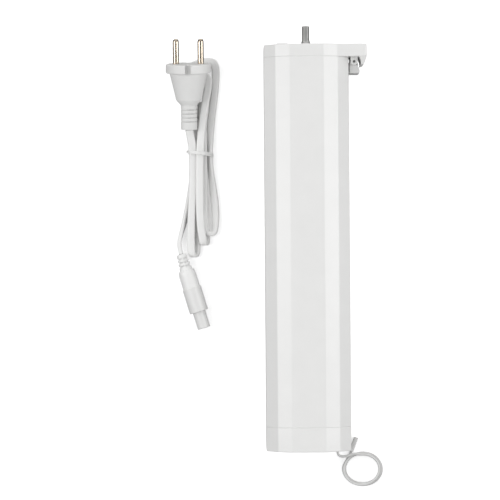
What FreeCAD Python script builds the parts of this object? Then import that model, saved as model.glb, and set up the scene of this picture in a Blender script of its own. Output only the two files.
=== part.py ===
import FreeCAD, Part
import Sketcher
import math
import os
from FreeCAD import Placement, Rotation, Vector

# Curtain motor with its mains lead, laid out as on a table, front side up.
# Millimetres. +Y runs along the housing towards the drive shaft, +Z out of the front,
# and the origin is the centre of the housing's back face.

doc = FreeCAD.newDocument("curtain_motor")
sheet = doc.addObject("Spreadsheet::Sheet", "Sizes")

SIZES = [
    # Housing: a faceted sleeve closed by two caps
    ("housing_length", 309.0), ("housing_width", 64.5), ("housing_depth", 50.0), ("wall", 2.2),
    ("front_flat_width", 25.7), ("inner_facet_width", 10.6), ("inner_facet_drop", 3.9),
    ("outer_facet_drop", 12.7), ("back_round", 3.0), ("seam_chamfer", 0.35),
    ("head_length", 9.5), ("base_length", 18.4), ("cap_fit", 0.15),
    ("tab_thickness", 1.4), ("tab_length", 6.0), ("side_tab_low", 12.5), ("side_tab_height", 18.0),
    ("flat_tab_width", 22.0), ("port_outer", 5.4), ("port_bore", 3.0), ("port_low_x", 27.6),
    ("port_low_height", 4.6), ("port_high_x", 25.6), ("port_high_drop", 12.6),
    # Hook arm, its nose and the release lever
    ("arm_reach", 13.55), ("arm_bottom", 12.0), ("arm_round", 1.2),
    ("nose_length", 6.5), ("nose_foot", 5.6),
    ("lever_gap", 0.75), ("lever_length", 12.3), ("lever_width", 7.8),
    ("lever_head_radius", 2.7), ("lever_height", 19.4), ("lever_side_fit", 0.25),
    ("lever_pin_diameter", 2.0), ("lever_pin_x", 36.45), ("lever_pin_drop", 3.5),
    ("ear_thickness", 3.2), ("lever_spring_thickness", 0.35), ("lever_spring_width", 7.0),
    ("shaft_fit", 0.05),
    # Drive shaft and its bearing
    ("hex_across_flats", 5.0), ("hex_reach", 15.2), ("shaft_diameter", 8.0),
    ("collar_diameter", 8.2), ("collar_waist", 6.2), ("collar_length", 3.7), ("collar_gap", 0.3),
    ("shaft_hole", 9.0), ("bush_outer", 14.0), ("bush_flange", 17.0), ("bush_flange_thickness", 1.5),
    ("bush_depth", 2.5), ("shaft_socket", 2.0),
    # Two planetary stages in one toothed case
    ("sun_teeth", 12), ("planet_teeth", 18), ("tooth_backlash", 0.16),
    ("case_wall", 2.2125), ("case_length", 29.6), ("case_floor", 2.5),
    ("cover_thickness", 4.0), ("gear_width", 8.0), ("carrier_rim", 2.75),
    ("tooth_addendum", 0.75), ("tooth_dedendum", 1.05), ("pilot_diameter", 3.0), ("pilot_length", 6.0),
    ("output_carrier_thickness", 4.0), ("first_carrier_thickness", 3.5), ("stage_gap", 0.7),
    ("planet_pin_diameter", 3.0), ("pin_end_gap", 0.5), ("gear_screw_inset", 4.5),
    # Motor
    ("motor_length", 60.0), ("motor_boss", 10.0), ("motor_wall", 1.5),
    ("motor_front", 3.0),
    ("magnet_thickness", 4.5), ("magnet_length", 34.0), ("magnet_angle", 120.0),
    ("air_gap", 1.0), ("core_length", 32.0), ("motor_shaft_diameter", 4.0),
    ("rotor_slots", 5), ("slot_width", 3.0), ("slot_depth", 4.5),
    ("commutator_diameter", 10.0), ("commutator_length", 7.0), ("end_bell_length", 5.0),
    ("brush_width", 4.0), ("brush_height", 5.0), ("disc_diameter", 14.0), ("disc_thickness", 2.0),
    ("sensor_board_thickness", 1.6), ("sensor_gap", 1.0), ("damper_fit", 0.1),
    ("damper_width", 7.0), ("damper_front_inset", 9.0), ("damper_rear_inset", 8.0),
    ("front_damper_thickness", 1.7), ("rear_damper_thickness", 3.7),
    # Boards, slid into rails of the sleeve
    ("board_height", 9.0), ("board_thickness", 1.6), ("board_side_gap", 0.2), ("board_fit", 0.1),
    ("rail_reach", 1.6), ("rail_thickness", 1.2), ("control_length", 56.0), ("power_end_gap", 17.9),
    ("board_end_gap", 3.0), ("boards_gap", 4.0), ("parts_gap", 6.0),
    ("transformer_width", 24.0), ("transformer_length", 20.0), ("transformer_height", 17.0),
    ("capacitor_diameter", 10.0), ("capacitor_length", 20.0), ("fuse_diameter", 5.0),
    ("fuse_length", 20.0), ("radio_width", 16.0), ("radio_length", 22.0), ("radio_height", 2.6),
    ("switch_size", 6.0),
    # Bottom cap: power inlet, set button, aerial
    ("inlet_x", -2.0), ("inlet_height", 20.0), ("inlet_bore", 10.4), ("inlet_depth", 14.0),
    ("inlet_outer", 13.0), ("inlet_flange", 15.5), ("inlet_pin_diameter", 1.6), ("inlet_pin_pitch", 4.0),
    ("inlet_pin_length", 8.0),
    ("button_x", -19.0), ("button_height", 20.0), ("button_diameter", 6.0), ("button_travel", 0.8),
    ("button_reach", 1.2), ("button_flange", 8.0), ("button_flange_thickness", 1.5), ("button_fit", 0.1),
    ("button_stem", 2.4), ("switch_gap", 0.3),
    ("aerial_x", 22.6), ("aerial_height", 12.0), ("aerial_diameter", 2.0),
    ("grommet_diameter", 5.6),
    ("aerial_run", 3.5), ("grommet_reach", 1.6), ("grommet_lip", 0.9), ("boss_diameter", 7.0),
    ("screw_head_diameter", 5.4),
    ("screw_head_height", 2.2), ("screw_head_sink", 2.6), ("screw_grip", 8.0), ("screw_hole_fit", 0.2),
    ("pad_width", 8.8), ("pad_depth", 7.0), ("pad_thickness", 0.5), ("pad_x", -18.3),
    ("pad_edge_gap", 0.3),
    # Aerial wire: a loosely wound coil and its tip
    ("coil_centre_x", 42.0), ("coil_centre_y", -171.3), ("coil_half_width", 15.0),
    ("coil_half_height", 13.05), ("coil_pitch", 3.8), ("coil_drift", 0.7),
    ("coil_looseness", 0.035), ("tip_x", 35.0), ("tip_y", -158.3), ("tip_turn", 6.0),
    ("tip_diameter", 3.4), ("tip_length", 11.7), ("tip_bore_depth", 2.0),
    # Mains plug, lying tilted on its own cord
    ("plug_x", -90.0), ("plug_y", 141.8), ("plug_height", 22.5), ("plug_tilt", 9.0),
    ("pin_spacing", 19.0), ("pin_diameter", 4.8), ("pin_length", 19.2), ("pin_root", 4.0),
    ("pin_root_diameter", 3.6),
    ("flange_diameter", 35.0), ("flange_thickness", 7.0), ("notch_width", 4.6), ("notch_depth", 2.2),
    ("plug_body_length", 20.5), ("plug_end_length", 3.7), ("plug_body_width", 29.6),
    ("plug_body_height", 23.0),
    ("plug_end_width", 18.4), ("plug_end_height", 15.0),
    ("relief_width", 12.5), ("relief_height", 9.4), ("relief_length", 19.4), ("relief_groove", 0.9),
    ("relief_groove_depth", 0.9), ("relief_grooves", 4), ("relief_groove_pitch", 3.05),
    ("relief_first_groove", 3.45),
    # Flat cord: the tube follows its thickness
    ("cord_thickness", 3.6), ("tie_wire", 0.9), ("tie_width", 2.6), ("tie_fit", 0.15),
    ("tie_knot", 1.8), ("tie_y", 73.6),
    # Round connector at the lead's other end
    ("connector_x", -97.0), ("connector_y", -4.2), ("connector_height", 7.3), ("connector_turn", 16.8),
    ("connector_run", 9.0),
    ("connector_relief_length", 13.0), ("connector_relief_start", 7.7), ("connector_relief_end", 11.5),
    ("connector_grooves", 3), ("connector_web", 2.2), ("connector_groove", 0.9),
    ("connector_groove_pitch", 3.4), ("connector_groove_depth", 1.0),
    ("connector_groove_start", 2.6), ("connector_body_length", 14.5), ("connector_body_diameter", 13.8),
    ("connector_body_start", 11.6), ("connector_taper", 3.6), ("connector_sleeve_length", 19.0),
    ("connector_sleeve_diameter", 14.4), ("connector_nose_length", 13.3),
    ("connector_nose_diameter", 10.0), ("contact_bore", 1.8), ("contact_depth", 9.0),
    ("edge_round", 0.8),
]

for row, (alias, size) in enumerate(SIZES, 1):
    sheet.set("A%d" % row, alias)
    sheet.set("B%d" % row, str(size))
    sheet.setAlias("B%d" % row, alias)
doc.recompute()


class SizeNames:
    """Gives each size's expression, such as Sizes.wall, by its alias."""

    def __getattr__(self, alias):
        return "Sizes." + alias


S = SizeNames()
nodes = {}


def number(expression):
    """The present value of an expression in the sheet's sizes."""
    return float(sheet.evalExpression(str(expression)))


def bind(target, **expressions):
    """Ties properties to expressions. A double underscore stands for a dot."""
    for name, expression in expressions.items():
        target.setExpression(name.replace("__", "."), str(expression))


def node(name, feature):
    """Names the finished feature of one sub-part."""
    feature.Label = name
    nodes[name] = feature
    return feature


def place(feature, x, y, z):
    bind(feature, Placement__Base__x=x, Placement__Base__y=y, Placement__Base__z=z)


def box(name, x, y, z):
    """Box from pairs of expressions: lowest and highest on each axis."""
    feature = doc.addObject("Part::Box", name)
    bind(feature, Length="(%s) - (%s)" % (x[1], x[0]), Width="(%s) - (%s)" % (y[1], y[0]),
         Height="(%s) - (%s)" % (z[1], z[0]))
    place(feature, x[0], y[0], z[0])
    return feature


def rod(name, radius, low, high, x, z):
    """Cylinder along Y between two heights, on the line through x and z."""
    feature = doc.addObject("Part::Cylinder", name)
    feature.Placement = Placement(Vector(), Rotation(Vector(1, 0, 0), -90))
    bind(feature, Radius=radius, Height="(%s) - (%s)" % (high, low))
    place(feature, x, low, z)
    return feature


def prism(name, sides, radius, low, high, x, z):
    """Many-sided rod along Y, for small, hidden and repeated pieces."""
    feature = doc.addObject("Part::Prism", name)
    feature.Polygon = sides
    feature.Placement = Placement(Vector(), Rotation(Vector(1, 0, 0), -90))
    bind(feature, Circumradius=radius, Height="(%s) - (%s)" % (high, low))
    place(feature, x, low, z)
    return feature


def post(name, radius, x, y, low, high):
    """Cylinder along Z."""
    feature = doc.addObject("Part::Cylinder", name)
    bind(feature, Radius=radius, Height="(%s) - (%s)" % (high, low))
    place(feature, x, y, low)
    return feature


def cut(name, base, *tools):
    tool = tools[0] if len(tools) == 1 else fuse(name + "_tool", *tools)
    feature = doc.addObject("Part::Cut", name)
    feature.Base = base
    feature.Tool = tool
    return feature


def fuse(name, *parts):
    feature = doc.addObject("Part::MultiFuse", name)
    feature.Shapes = list(parts)
    return feature


def collar(name, sides, outer, bore, low, high):
    """Many-sided ring on the drive axis with a round bore."""
    return cut(name, prism(name + "_outside", sides, outer, low, high, "0", AXIS_Z),
               rod(name + "_bore", bore, low, high, "0", AXIS_Z))


def ring_of_corners(sides, wide, high, along):
    """Corners of a many-sided oval across Y, from its half width and half height."""
    turns = [2 * math.pi * k / sides for k in range(sides)]
    return [Vector(wide * math.cos(turn), along, high * math.sin(turn)) for turn in turns]


def flat_faces(a, b, c, d):
    """One flat face through four corners, or two where they don't lie in one plane."""
    if abs((b - a).cross(c - a).dot(d - a)) < 1e-7:
        corners = [(a, b, c, d)]
    else:
        corners = [(a, b, c), (a, c, d)]
    return [Part.Face(Part.makePolygon(list(each) + [each[0]])) for each in corners]


def flat_sided(name, rings, x="0", z="0"):
    """Solid with flat sides from one ring of corners to the next, placed by expressions."""
    faces = [Part.Face(Part.makePolygon(ring + ring[:1])) for ring in (rings[0], rings[-1])]
    for ring, after in zip(rings, rings[1:]):
        for k in range(len(ring)):
            n = (k + 1) % len(ring)
            faces += flat_faces(ring[k], ring[n], after[n], after[k])
    shell = Part.Shell(faces)
    shell.sewShape()
    solid = Part.Solid(shell)
    if solid.Volume < 0:
        solid.reverse()
    feature = doc.addObject("Part::Feature", name)
    feature.Shape = solid
    place(feature, x, "0", z)
    return feature


def many_sided(name, sides, profile, x="0", z="0"):
    """Tapering many-sided piece along Y, from pairs of radius and y."""
    return flat_sided(name, [ring_of_corners(sides, number(radius), number(radius), number(y))
                             for radius, y in profile], x, z)


def group(name, *parts):
    """Separate solids of one node, such as alike screws."""
    feature = doc.addObject("Part::Compound", name)
    feature.Links = list(parts)
    return feature


def body(name):
    return doc.addObject("PartDesign::Body", name)


def plane(owner, role):
    return next(item for item in owner.Origin.OriginFeatures if item.Role == role)


def sketch_on(owner, name, role, offset):
    """Empty sketch on one of the body's own planes, moved along the plane's normal."""
    sketch = owner.newObject("Sketcher::SketchObject", name)
    sketch.AttachmentSupport = (plane(owner, role), [""])
    sketch.MapMode = "FlatFace"
    bind(sketch, AttachmentOffset__Base__z=offset)
    return sketch


def fix_point(sketch, index, place_on_curve, x, y):
    """Ties one point of a sketch to the origin by two distances."""
    for kind, expression in (("DistanceX", x), ("DistanceY", y)):
        here = sketch.addConstraint(Sketcher.Constraint(
            kind, -1, 1, index, place_on_curve, number(expression)))
        sketch.setExpression("Constraints[%d]" % here, str(expression))


def add_polygon(sketch, corners):
    """Closed outline through corners given as pairs of expressions."""
    points = [Vector(number(x), number(y), 0) for x, y in corners]
    first = sketch.GeometryCount
    for index, start in enumerate(points):
        end = points[(index + 1) % len(points)]
        sketch.addGeometry(Part.LineSegment(start, end), False)
    for index, corner in enumerate(corners):
        here = first + index
        after = first + (index + 1) % len(corners)
        sketch.addConstraint(Sketcher.Constraint("Coincident", here, 2, after, 1))
        fix_point(sketch, here, 1, corner[0], corner[1])


def add_circle(sketch, radius, x, y):
    centre = Vector(number(x), number(y), 0)
    here = sketch.addGeometry(Part.Circle(centre, Vector(0, 0, 1), number(radius)), False)
    fix_point(sketch, here, 3, x, y)
    size = sketch.addConstraint(Sketcher.Constraint("Radius", here, number(radius)))
    sketch.setExpression("Constraints[%d]" % size, str(radius))


def add_rectangle(sketch, low_x, high_x, low_y, high_y):
    add_polygon(sketch, [(low_x, low_y), (high_x, low_y), (high_x, high_y), (low_x, high_y)])


def pad(owner, sketch, length, reversed_side=False):
    feature = owner.newObject("PartDesign::Pad", sketch.Name + "_pad")
    feature.Profile = sketch
    feature.Reversed = reversed_side
    bind(feature, Length=length)
    return feature


def pocket(owner, sketch, length, reversed_side=False):
    feature = owner.newObject("PartDesign::Pocket", sketch.Name + "_pocket")
    feature.Profile = sketch
    feature.Reversed = reversed_side
    bind(feature, Length=length)
    return feature


def turned(name, profile, height="0"):
    """Body turned about the line along Y at a height, from pairs of radius and y."""
    owner = body(name)
    sketch = sketch_on(owner, name + "_profile", "XY_Plane", height)
    add_polygon(sketch, profile)
    feature = owner.newObject("PartDesign::Revolution", name + "_turning")
    feature.Profile = sketch
    feature.ReferenceAxis = (sketch, ["V_Axis"])
    feature.Angle = 360
    return owner


def ring_profile(inner, outer, low, high):
    return [(inner, low), (outer, low), (outer, high), (inner, high)]


def long_edges_where(feature, test):
    """Names of the feature's edges along Y whose ends both pass a test."""
    return ["Edge%d" % index for index, edge in enumerate(feature.Shape.Edges, 1)
            if edge.BoundBox.XLength < 1e-6 and edge.BoundBox.ZLength < 1e-6
            and all(test(vertex.Point) for vertex in edge.Vertexes)]


def dress(owner, kind, base, names, size):
    """Fillet or chamfer on named edges of the body's last feature."""
    feature = owner.newObject("PartDesign::" + kind, base.Name + "_" + kind.lower())
    feature.Base = (base, names)
    bind(feature, **{"Radius" if kind == "Fillet" else "Size": size})
    return feature


# Places along and across the housing, as expressions
HALF_WIDTH = S.housing_width + " / 2"
HEAD_FACE = S.housing_length + " / 2"
HEAD_SEAM = HEAD_FACE + " - " + S.head_length
BASE_FACE = "-" + S.housing_length + " / 2"
BASE_SEAM = BASE_FACE + " + " + S.base_length
FLAT_X = S.front_flat_width + " / 2"
FACET_X = FLAT_X + " + " + S.inner_facet_width
FACET_Z = S.housing_depth + " - " + S.inner_facet_drop
SIDE_Z = S.housing_depth + " - " + S.outer_facet_drop
AXIS_Z = S.housing_depth + " / 2"
INSIDE_X = HALF_WIDTH + " - " + S.wall
ARM_X = HALF_WIDTH + " + " + S.arm_reach
PORT_HIGH_Z = S.housing_depth + " - " + S.port_high_drop

# The gearmotor fills the sleeve's depth: its two dampers, then the gear case and the motor,
# and the tooth module from what the case's wall leaves
SEAT_RADIUS = "%s - %s - %s" % (AXIS_Z, S.wall, S.damper_fit)
CASE_RADIUS = "(%s - %s)" % (SEAT_RADIUS, S.front_damper_thickness)
MOTOR_RADIUS = "(%s - %s)" % (SEAT_RADIUS, S.rear_damper_thickness)
MODULE = "((%s - %s) / (%s / 2 + %s + %s))" % (CASE_RADIUS, S.case_wall, S.sun_teeth,
                                               S.planet_teeth, S.tooth_dedendum)
PLANET_ORBIT = "(%s * (%s + %s) / 2)" % (MODULE, S.sun_teeth, S.planet_teeth)
CARRIER_RADIUS = "%s + %s / 2 + %s" % (PLANET_ORBIT, S.planet_pin_diameter, S.carrier_rim)


def minus(expression):
    return "-(%s)" % expression


def at_back_corner(point):
    return abs(point.z) < 1e-6 and abs(abs(point.x) - number(HALF_WIDTH)) < 1e-6


def faces_at(feature, y):
    level = number(y)
    return ["Face%d" % index for index, face in enumerate(feature.Shape.Faces, 1)
            if abs(face.BoundBox.YMin - level) < 1e-6 and abs(face.BoundBox.YMax - level) < 1e-6]


def outer_edges_at(feature, y):
    """Edges of the outermost loop of the end face at y."""
    face = feature.Shape.getElement(faces_at(feature, y)[0])
    loop = face.OuterWire.Edges
    return ["Edge%d" % index for index, edge in enumerate(feature.Shape.Edges, 1)
            if any(edge.isSame(other) for other in loop)]


def housing_tube(name, top, bottom, open_faces):
    """Moulded tube with the housing's faceted outline, open at the given ends."""
    owner = body(name)
    sketch = sketch_on(owner, name + "_outline", "XZ_Plane", minus(top))
    add_polygon(sketch, [
        (minus(HALF_WIDTH), "0"), (HALF_WIDTH, "0"), (HALF_WIDTH, SIDE_Z), (FACET_X, FACET_Z),
        (FLAT_X, S.housing_depth), (minus(FLAT_X), S.housing_depth), (minus(FACET_X), FACET_Z),
        (minus(HALF_WIDTH), SIDE_Z)])
    solid = pad(owner, sketch, "%s - (%s)" % (top, bottom))
    doc.recompute()
    rounded = dress(owner, "Fillet", solid, long_edges_where(solid, at_back_corner), S.back_round)
    doc.recompute()
    shell = owner.newObject("PartDesign::Thickness", name + "_shell")
    ends = [face for y in open_faces for face in faces_at(rounded, y)]
    shell.Base = (rounded, ends)
    shell.Join = 1
    shell.Reversed = True
    bind(shell, Value=S.wall)
    doc.recompute()
    return owner, shell


def port_places():
    """Places of the four screw ports in the corners."""
    for x, z in ((S.port_low_x, S.port_low_height), (S.port_high_x, PORT_HIGH_Z)):
        yield x, z
        yield minus(x), z


def screw_ports(owner, name, top, length, outer, bore, reversed_side=False):
    """Four round ports along Y with a bore for the cap screws."""
    ports = sketch_on(owner, name, "XZ_Plane", minus(top))
    for x, z in port_places():
        add_circle(ports, outer + " / 2", x, z)
        add_circle(ports, bore, x, z)
    return pad(owner, ports, length, reversed_side)


def board_rails(owner):
    """Two pairs of rails on the side walls that the boards slide into."""
    rails = sketch_on(owner, "rails", "XZ_Plane", minus(POWER_TOP))
    reach = "%s - %s" % (INSIDE_X, S.rail_reach)
    sunk = "%s + %s / 2" % (INSIDE_X, S.wall)
    below = "%s - %s" % (S.board_height, S.board_fit)
    above = "%s + %s + %s" % (S.board_height, S.board_thickness, S.board_fit)
    for low, high in (("%s - %s" % (below, S.rail_thickness), below),
                      (above, "%s + %s" % (above, S.rail_thickness))):
        add_rectangle(rails, reach, sunk, low, high)
        add_rectangle(rails, minus(sunk), minus(reach), low, high)
    return pad(owner, rails, "%s - (%s)" % (POWER_TOP, BASE_SEAM))


def make_main_sleeve():
    owner, shell = housing_tube("main_sleeve", HEAD_SEAM, BASE_SEAM, (HEAD_SEAM, BASE_SEAM))
    screw_ports(owner, "ports", HEAD_SEAM, "%s - (%s)" % (HEAD_SEAM, BASE_SEAM), S.port_outer,
                S.port_bore + " / 2")
    rails = board_rails(owner)
    doc.recompute()
    ends = outer_edges_at(rails, HEAD_SEAM) + outer_edges_at(rails, BASE_SEAM)
    dress(owner, "Chamfer", rails, ends, S.seam_chamfer)
    node("main_sleeve", owner)


def locating_tabs(owner, seam, name, downwards):
    """Four tabs that reach from a cap into the sleeve, a fit away from its walls."""
    tabs = sketch_on(owner, name, "XZ_Plane", minus(seam))
    outer = "%s - %s" % (INSIDE_X, S.cap_fit)
    inner = "%s - %s" % (outer, S.tab_thickness)
    low = S.side_tab_low
    high = "%s + %s" % (low, S.side_tab_height)
    add_rectangle(tabs, inner, outer, low, high)
    add_rectangle(tabs, minus(outer), minus(inner), low, high)
    half = S.flat_tab_width + " / 2"
    back = "%s + %s" % (S.wall, S.cap_fit)
    front = "%s - %s - %s" % (S.housing_depth, S.wall, S.cap_fit)
    add_rectangle(tabs, minus(half), half, back, "%s + %s" % (back, S.tab_thickness))
    add_rectangle(tabs, minus(half), half, "%s - %s" % (front, S.tab_thickness), front)
    return pad(owner, tabs, S.tab_length, not downwards)


PIN_Y = "%s - %s" % (HEAD_SEAM, S.lever_pin_drop)
LEVER_LOW = "%s + %s + %s" % (S.arm_bottom, S.ear_thickness, S.lever_side_fit)
LEVER_HIGH = "%s + %s" % (LEVER_LOW, S.lever_height)
EAR_TOP = "%s + %s + %s" % (LEVER_HIGH, S.lever_side_fit, S.ear_thickness)

# Hook nose: shares of its foot, measured back from the arm's end, and of its length
NOSE_OUTLINE = ((0.0, 0.0), (0.09, 0.22), (0.23, 0.65), (0.41, 0.86), (0.77, 0.94), (0.86, 1.0),
                (0.75, 0.8), (0.77, 0.49), (1.0, 0.0))


def add_hook(owner):
    """Nose of the hook under the arm, and the two ears that hold the lever's pin."""
    nose = sketch_on(owner, "nose", "XY_Plane", S.arm_bottom)
    add_polygon(nose, [("%s - %s * %s" % (ARM_X, S.nose_foot, across),
                        "%s - %s * %s" % (HEAD_SEAM, S.nose_length, down))
                       for across, down in NOSE_OUTLINE])
    pad(owner, nose, "%s - %s" % (FACET_Z, S.arm_bottom))
    left = "%s - %s" % (S.lever_pin_x, S.lever_head_radius)
    right = "%s + %s" % (S.lever_pin_x, S.lever_head_radius)
    for name, low in (("back_ear", S.arm_bottom), ("front_ear", "%s - %s" % (EAR_TOP, S.ear_thickness))):
        tongue = sketch_on(owner, name, "XY_Plane", low)
        add_rectangle(tongue, left, right, PIN_Y, HEAD_SEAM)
        pad(owner, tongue, S.ear_thickness)
        end = sketch_on(owner, name + "_end", "XY_Plane", low)
        add_circle(end, S.lever_head_radius, S.lever_pin_x, PIN_Y)
        pad(owner, end, S.ear_thickness)
    hole = sketch_on(owner, "ear_holes", "XY_Plane", S.arm_bottom)
    add_circle(hole, S.lever_pin_diameter + " / 2", S.lever_pin_x, PIN_Y)
    pocket(owner, hole, "%s - %s" % (EAR_TOP, S.arm_bottom), True)


def gear_screw_places():
    """Four places around the drive axis for the screws that hold the gearbox."""
    for quarter in range(4):
        turn = 45 + 90 * quarter
        radius = "(%s - %s)" % (CASE_RADIUS, S.gear_screw_inset)
        yield "%s * cos(%d)" % (radius, turn), "%s + %s * sin(%d)" % (AXIS_Z, radius, turn)


def make_head_cap():
    owner = body("head_moulding")
    outline = sketch_on(owner, "head_outline", "XZ_Plane", minus(HEAD_FACE))
    add_polygon(outline, [
        (minus(HALF_WIDTH), "0"), (HALF_WIDTH, "0"), (HALF_WIDTH, S.arm_bottom),
        (ARM_X, S.arm_bottom), (ARM_X, FACET_Z), (FACET_X, FACET_Z), (FLAT_X, S.housing_depth),
        (minus(FLAT_X), S.housing_depth), (minus(FACET_X), FACET_Z), (minus(HALF_WIDTH), SIDE_Z)])
    plate = pad(owner, outline, S.head_length)
    doc.recompute()
    rounded = dress(owner, "Fillet", plate, long_edges_where(plate, at_back_corner), S.back_round)
    doc.recompute()
    arm_end = number(ARM_X)
    corners = long_edges_where(rounded, lambda point: abs(point.x - arm_end) < 1e-6)
    arm = dress(owner, "Fillet", rounded, corners, S.arm_round)
    doc.recompute()
    dress(owner, "Chamfer", arm, outer_edges_at(arm, HEAD_SEAM), S.seam_chamfer)
    locating_tabs(owner, HEAD_SEAM, "head_tabs", True)
    seat = sketch_on(owner, "bush_seat", "XY_Plane", AXIS_Z)
    shoulder = "%s - %s" % (HEAD_FACE, S.bush_depth)
    step = "%s + %s" % (HEAD_SEAM, S.bush_flange_thickness)
    add_polygon(seat, [
        ("0", HEAD_SEAM), (S.bush_flange + " / 2", HEAD_SEAM), (S.bush_flange + " / 2", step),
        (S.bush_outer + " / 2", step), (S.bush_outer + " / 2", shoulder),
        (S.shaft_hole + " / 2", shoulder), (S.shaft_hole + " / 2", HEAD_FACE), ("0", HEAD_FACE)])
    groove = owner.newObject("PartDesign::Groove", "bush_bore")
    groove.Profile = seat
    groove.ReferenceAxis = (seat, ["V_Axis"])
    groove.Angle = 360
    add_hook(owner)
    holes = screw_holes("head_hole", HEAD_FACE, 1, S.head_length, port_places())
    holes += screw_holes("gear_hole", HEAD_FACE, 1, S.head_length, gear_screw_places())
    node("head_cap", cut("head_cap", owner, *holes))


def screw_holes(name, face, outwards, length, places):
    """Cutters of through holes for screws, with a recess for each head at the outer face."""
    cutters = []
    for index, (x, z) in enumerate(places):
        for part, radius, depth in (
                ("bore", "%s / 2 + %s" % (S.port_bore, S.screw_hole_fit), length),
                ("recess", "%s / 2 + %s" % (S.screw_head_diameter, S.screw_hole_fit), S.screw_head_sink)):
            inner = "%s - %d * %s" % (face, outwards, depth)
            low, high = (inner, face) if outwards > 0 else (face, inner)
            cutters.append(prism("%s_%s_%d" % (name, part, index), 12, radius, low, high, x, z))
    return cutters


def make_base_cap():
    owner, shell = housing_tube("base_cap", BASE_SEAM, BASE_FACE, (BASE_SEAM,))
    dress(owner, "Chamfer", shell, outer_edges_at(shell, BASE_SEAM), S.seam_chamfer)
    bosses = sketch_on(owner, "bosses", "XZ_Plane", minus(BASE_SEAM))
    for x, z in port_places():
        add_circle(bosses, S.boss_diameter + " / 2", x, z)
    pad(owner, bosses, S.base_length)
    roots = sketch_on(owner, "tab_roots", "XZ_Plane", minus(BASE_SEAM))
    sunk = "%s + %s / 2" % (INSIDE_X, S.wall)
    inner = "%s - %s - %s" % (INSIDE_X, S.cap_fit, S.tab_thickness)
    high = "%s + %s" % (S.side_tab_low, S.side_tab_height)
    add_rectangle(roots, inner, sunk, S.side_tab_low, high)
    add_rectangle(roots, minus(sunk), minus(inner), S.side_tab_low, high)
    half = S.flat_tab_width + " / 2"
    thick = "%s + %s + %s" % (S.wall, S.cap_fit, S.tab_thickness)
    add_rectangle(roots, minus(half), half, S.wall + " / 2", thick)
    add_rectangle(roots, minus(half), half, "%s - (%s)" % (S.housing_depth, thick),
                  "%s - %s / 2" % (S.housing_depth, S.wall))
    pad(owner, roots, S.tab_length)
    locating_tabs(owner, BASE_SEAM, "base_tabs", False)
    openings = sketch_on(owner, "base_openings", "XZ_Plane", minus(BASE_FACE))
    add_circle(openings, S.inlet_outer + " / 2", S.inlet_x, S.inlet_height)
    add_circle(openings, "%s / 2 + %s" % (S.button_diameter, S.button_fit), S.button_x, S.button_height)
    add_circle(openings, S.grommet_diameter + " / 2", S.aerial_x, S.aerial_height)
    pocket(owner, openings, S.wall)
    holes = screw_holes("base_hole", BASE_FACE, -1, S.base_length, port_places())
    node("bottom_cap", cut("bottom_cap", owner, *holes))


def screws(name, face, outwards, shank, places):
    """Pan-head screws along Y, each head resting in its recess."""
    parts = []
    for index, (x, z) in enumerate(places):
        seat = "%s - %d * %s" % (face, outwards, S.screw_head_sink)
        head_end = "%s + %d * %s" % (seat, outwards, S.screw_head_height)
        tip = "%s - %d * (%s)" % (seat, outwards, shank)
        low_head, high_head = (seat, head_end) if outwards > 0 else (head_end, seat)
        low_shank, high_shank = (tip, seat) if outwards > 0 else (seat, tip)
        head = prism("%s_head_%d" % (name, index), 12, S.screw_head_diameter + " / 2",
                     low_head, high_head, x, z)
        stem = prism("%s_stem_%d" % (name, index), 8, S.port_bore + " / 2", low_shank, high_shank, x, z)
        parts.append(fuse("%s_%d" % (name, index), head, stem))
    node(name, group(name, *parts))


def make_lever():
    """Release lever between the housing's side and the hook's nose, on a pin along Z."""
    owner = body("release_lever")
    left = "%s + %s" % (HALF_WIDTH, S.lever_gap)
    right = "%s + %s" % (left, S.lever_width)
    foot = "%s - %s" % (HEAD_SEAM, S.lever_length)
    outline = sketch_on(owner, "lever_outline", "XY_Plane", LEVER_LOW)
    add_polygon(outline, [
        (left, foot), (right + " - 2.2", foot), (right + " - 0.5", foot + " + 0.6"),
        (right, foot + " + 1.7"), (right + " - 0.7", foot + " + 3.7"), (right + " - 1.1", foot + " + 5.4"),
        ("%s + %s" % (S.lever_pin_x, S.lever_head_radius), PIN_Y),
        ("%s - %s" % (S.lever_pin_x, S.lever_head_radius), PIN_Y), (left, PIN_Y + " - 2.5")])
    pad(owner, outline, S.lever_height)
    head = sketch_on(owner, "lever_head", "XY_Plane", LEVER_LOW)
    add_circle(head, S.lever_head_radius, S.lever_pin_x, PIN_Y)
    pad(owner, head, S.lever_height)
    hole = sketch_on(owner, "lever_hole", "XY_Plane", LEVER_LOW)
    add_circle(hole, "%s / 2 + %s" % (S.lever_pin_diameter, S.shaft_fit), S.lever_pin_x, PIN_Y)
    pocket(owner, hole, S.lever_height, True)
    node("release_lever", owner)
    node("lever_pin", post("lever_pin", S.lever_pin_diameter + " / 2", S.lever_pin_x, PIN_Y,
                           S.arm_bottom, EAR_TOP))
    half = S.lever_spring_width + " / 2"
    middle = "(%s + %s) / 2" % (LEVER_LOW, LEVER_HIGH)
    node("lever_spring", box(
        "lever_spring", ("%s - %s" % (S.lever_pin_x, half), "%s + %s" % (S.lever_pin_x, half)),
        ("%s - %s" % (HEAD_SEAM, S.lever_spring_thickness), HEAD_SEAM),
        ("%s - %s" % (middle, half), "%s + %s" % (middle, half))))


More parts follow.
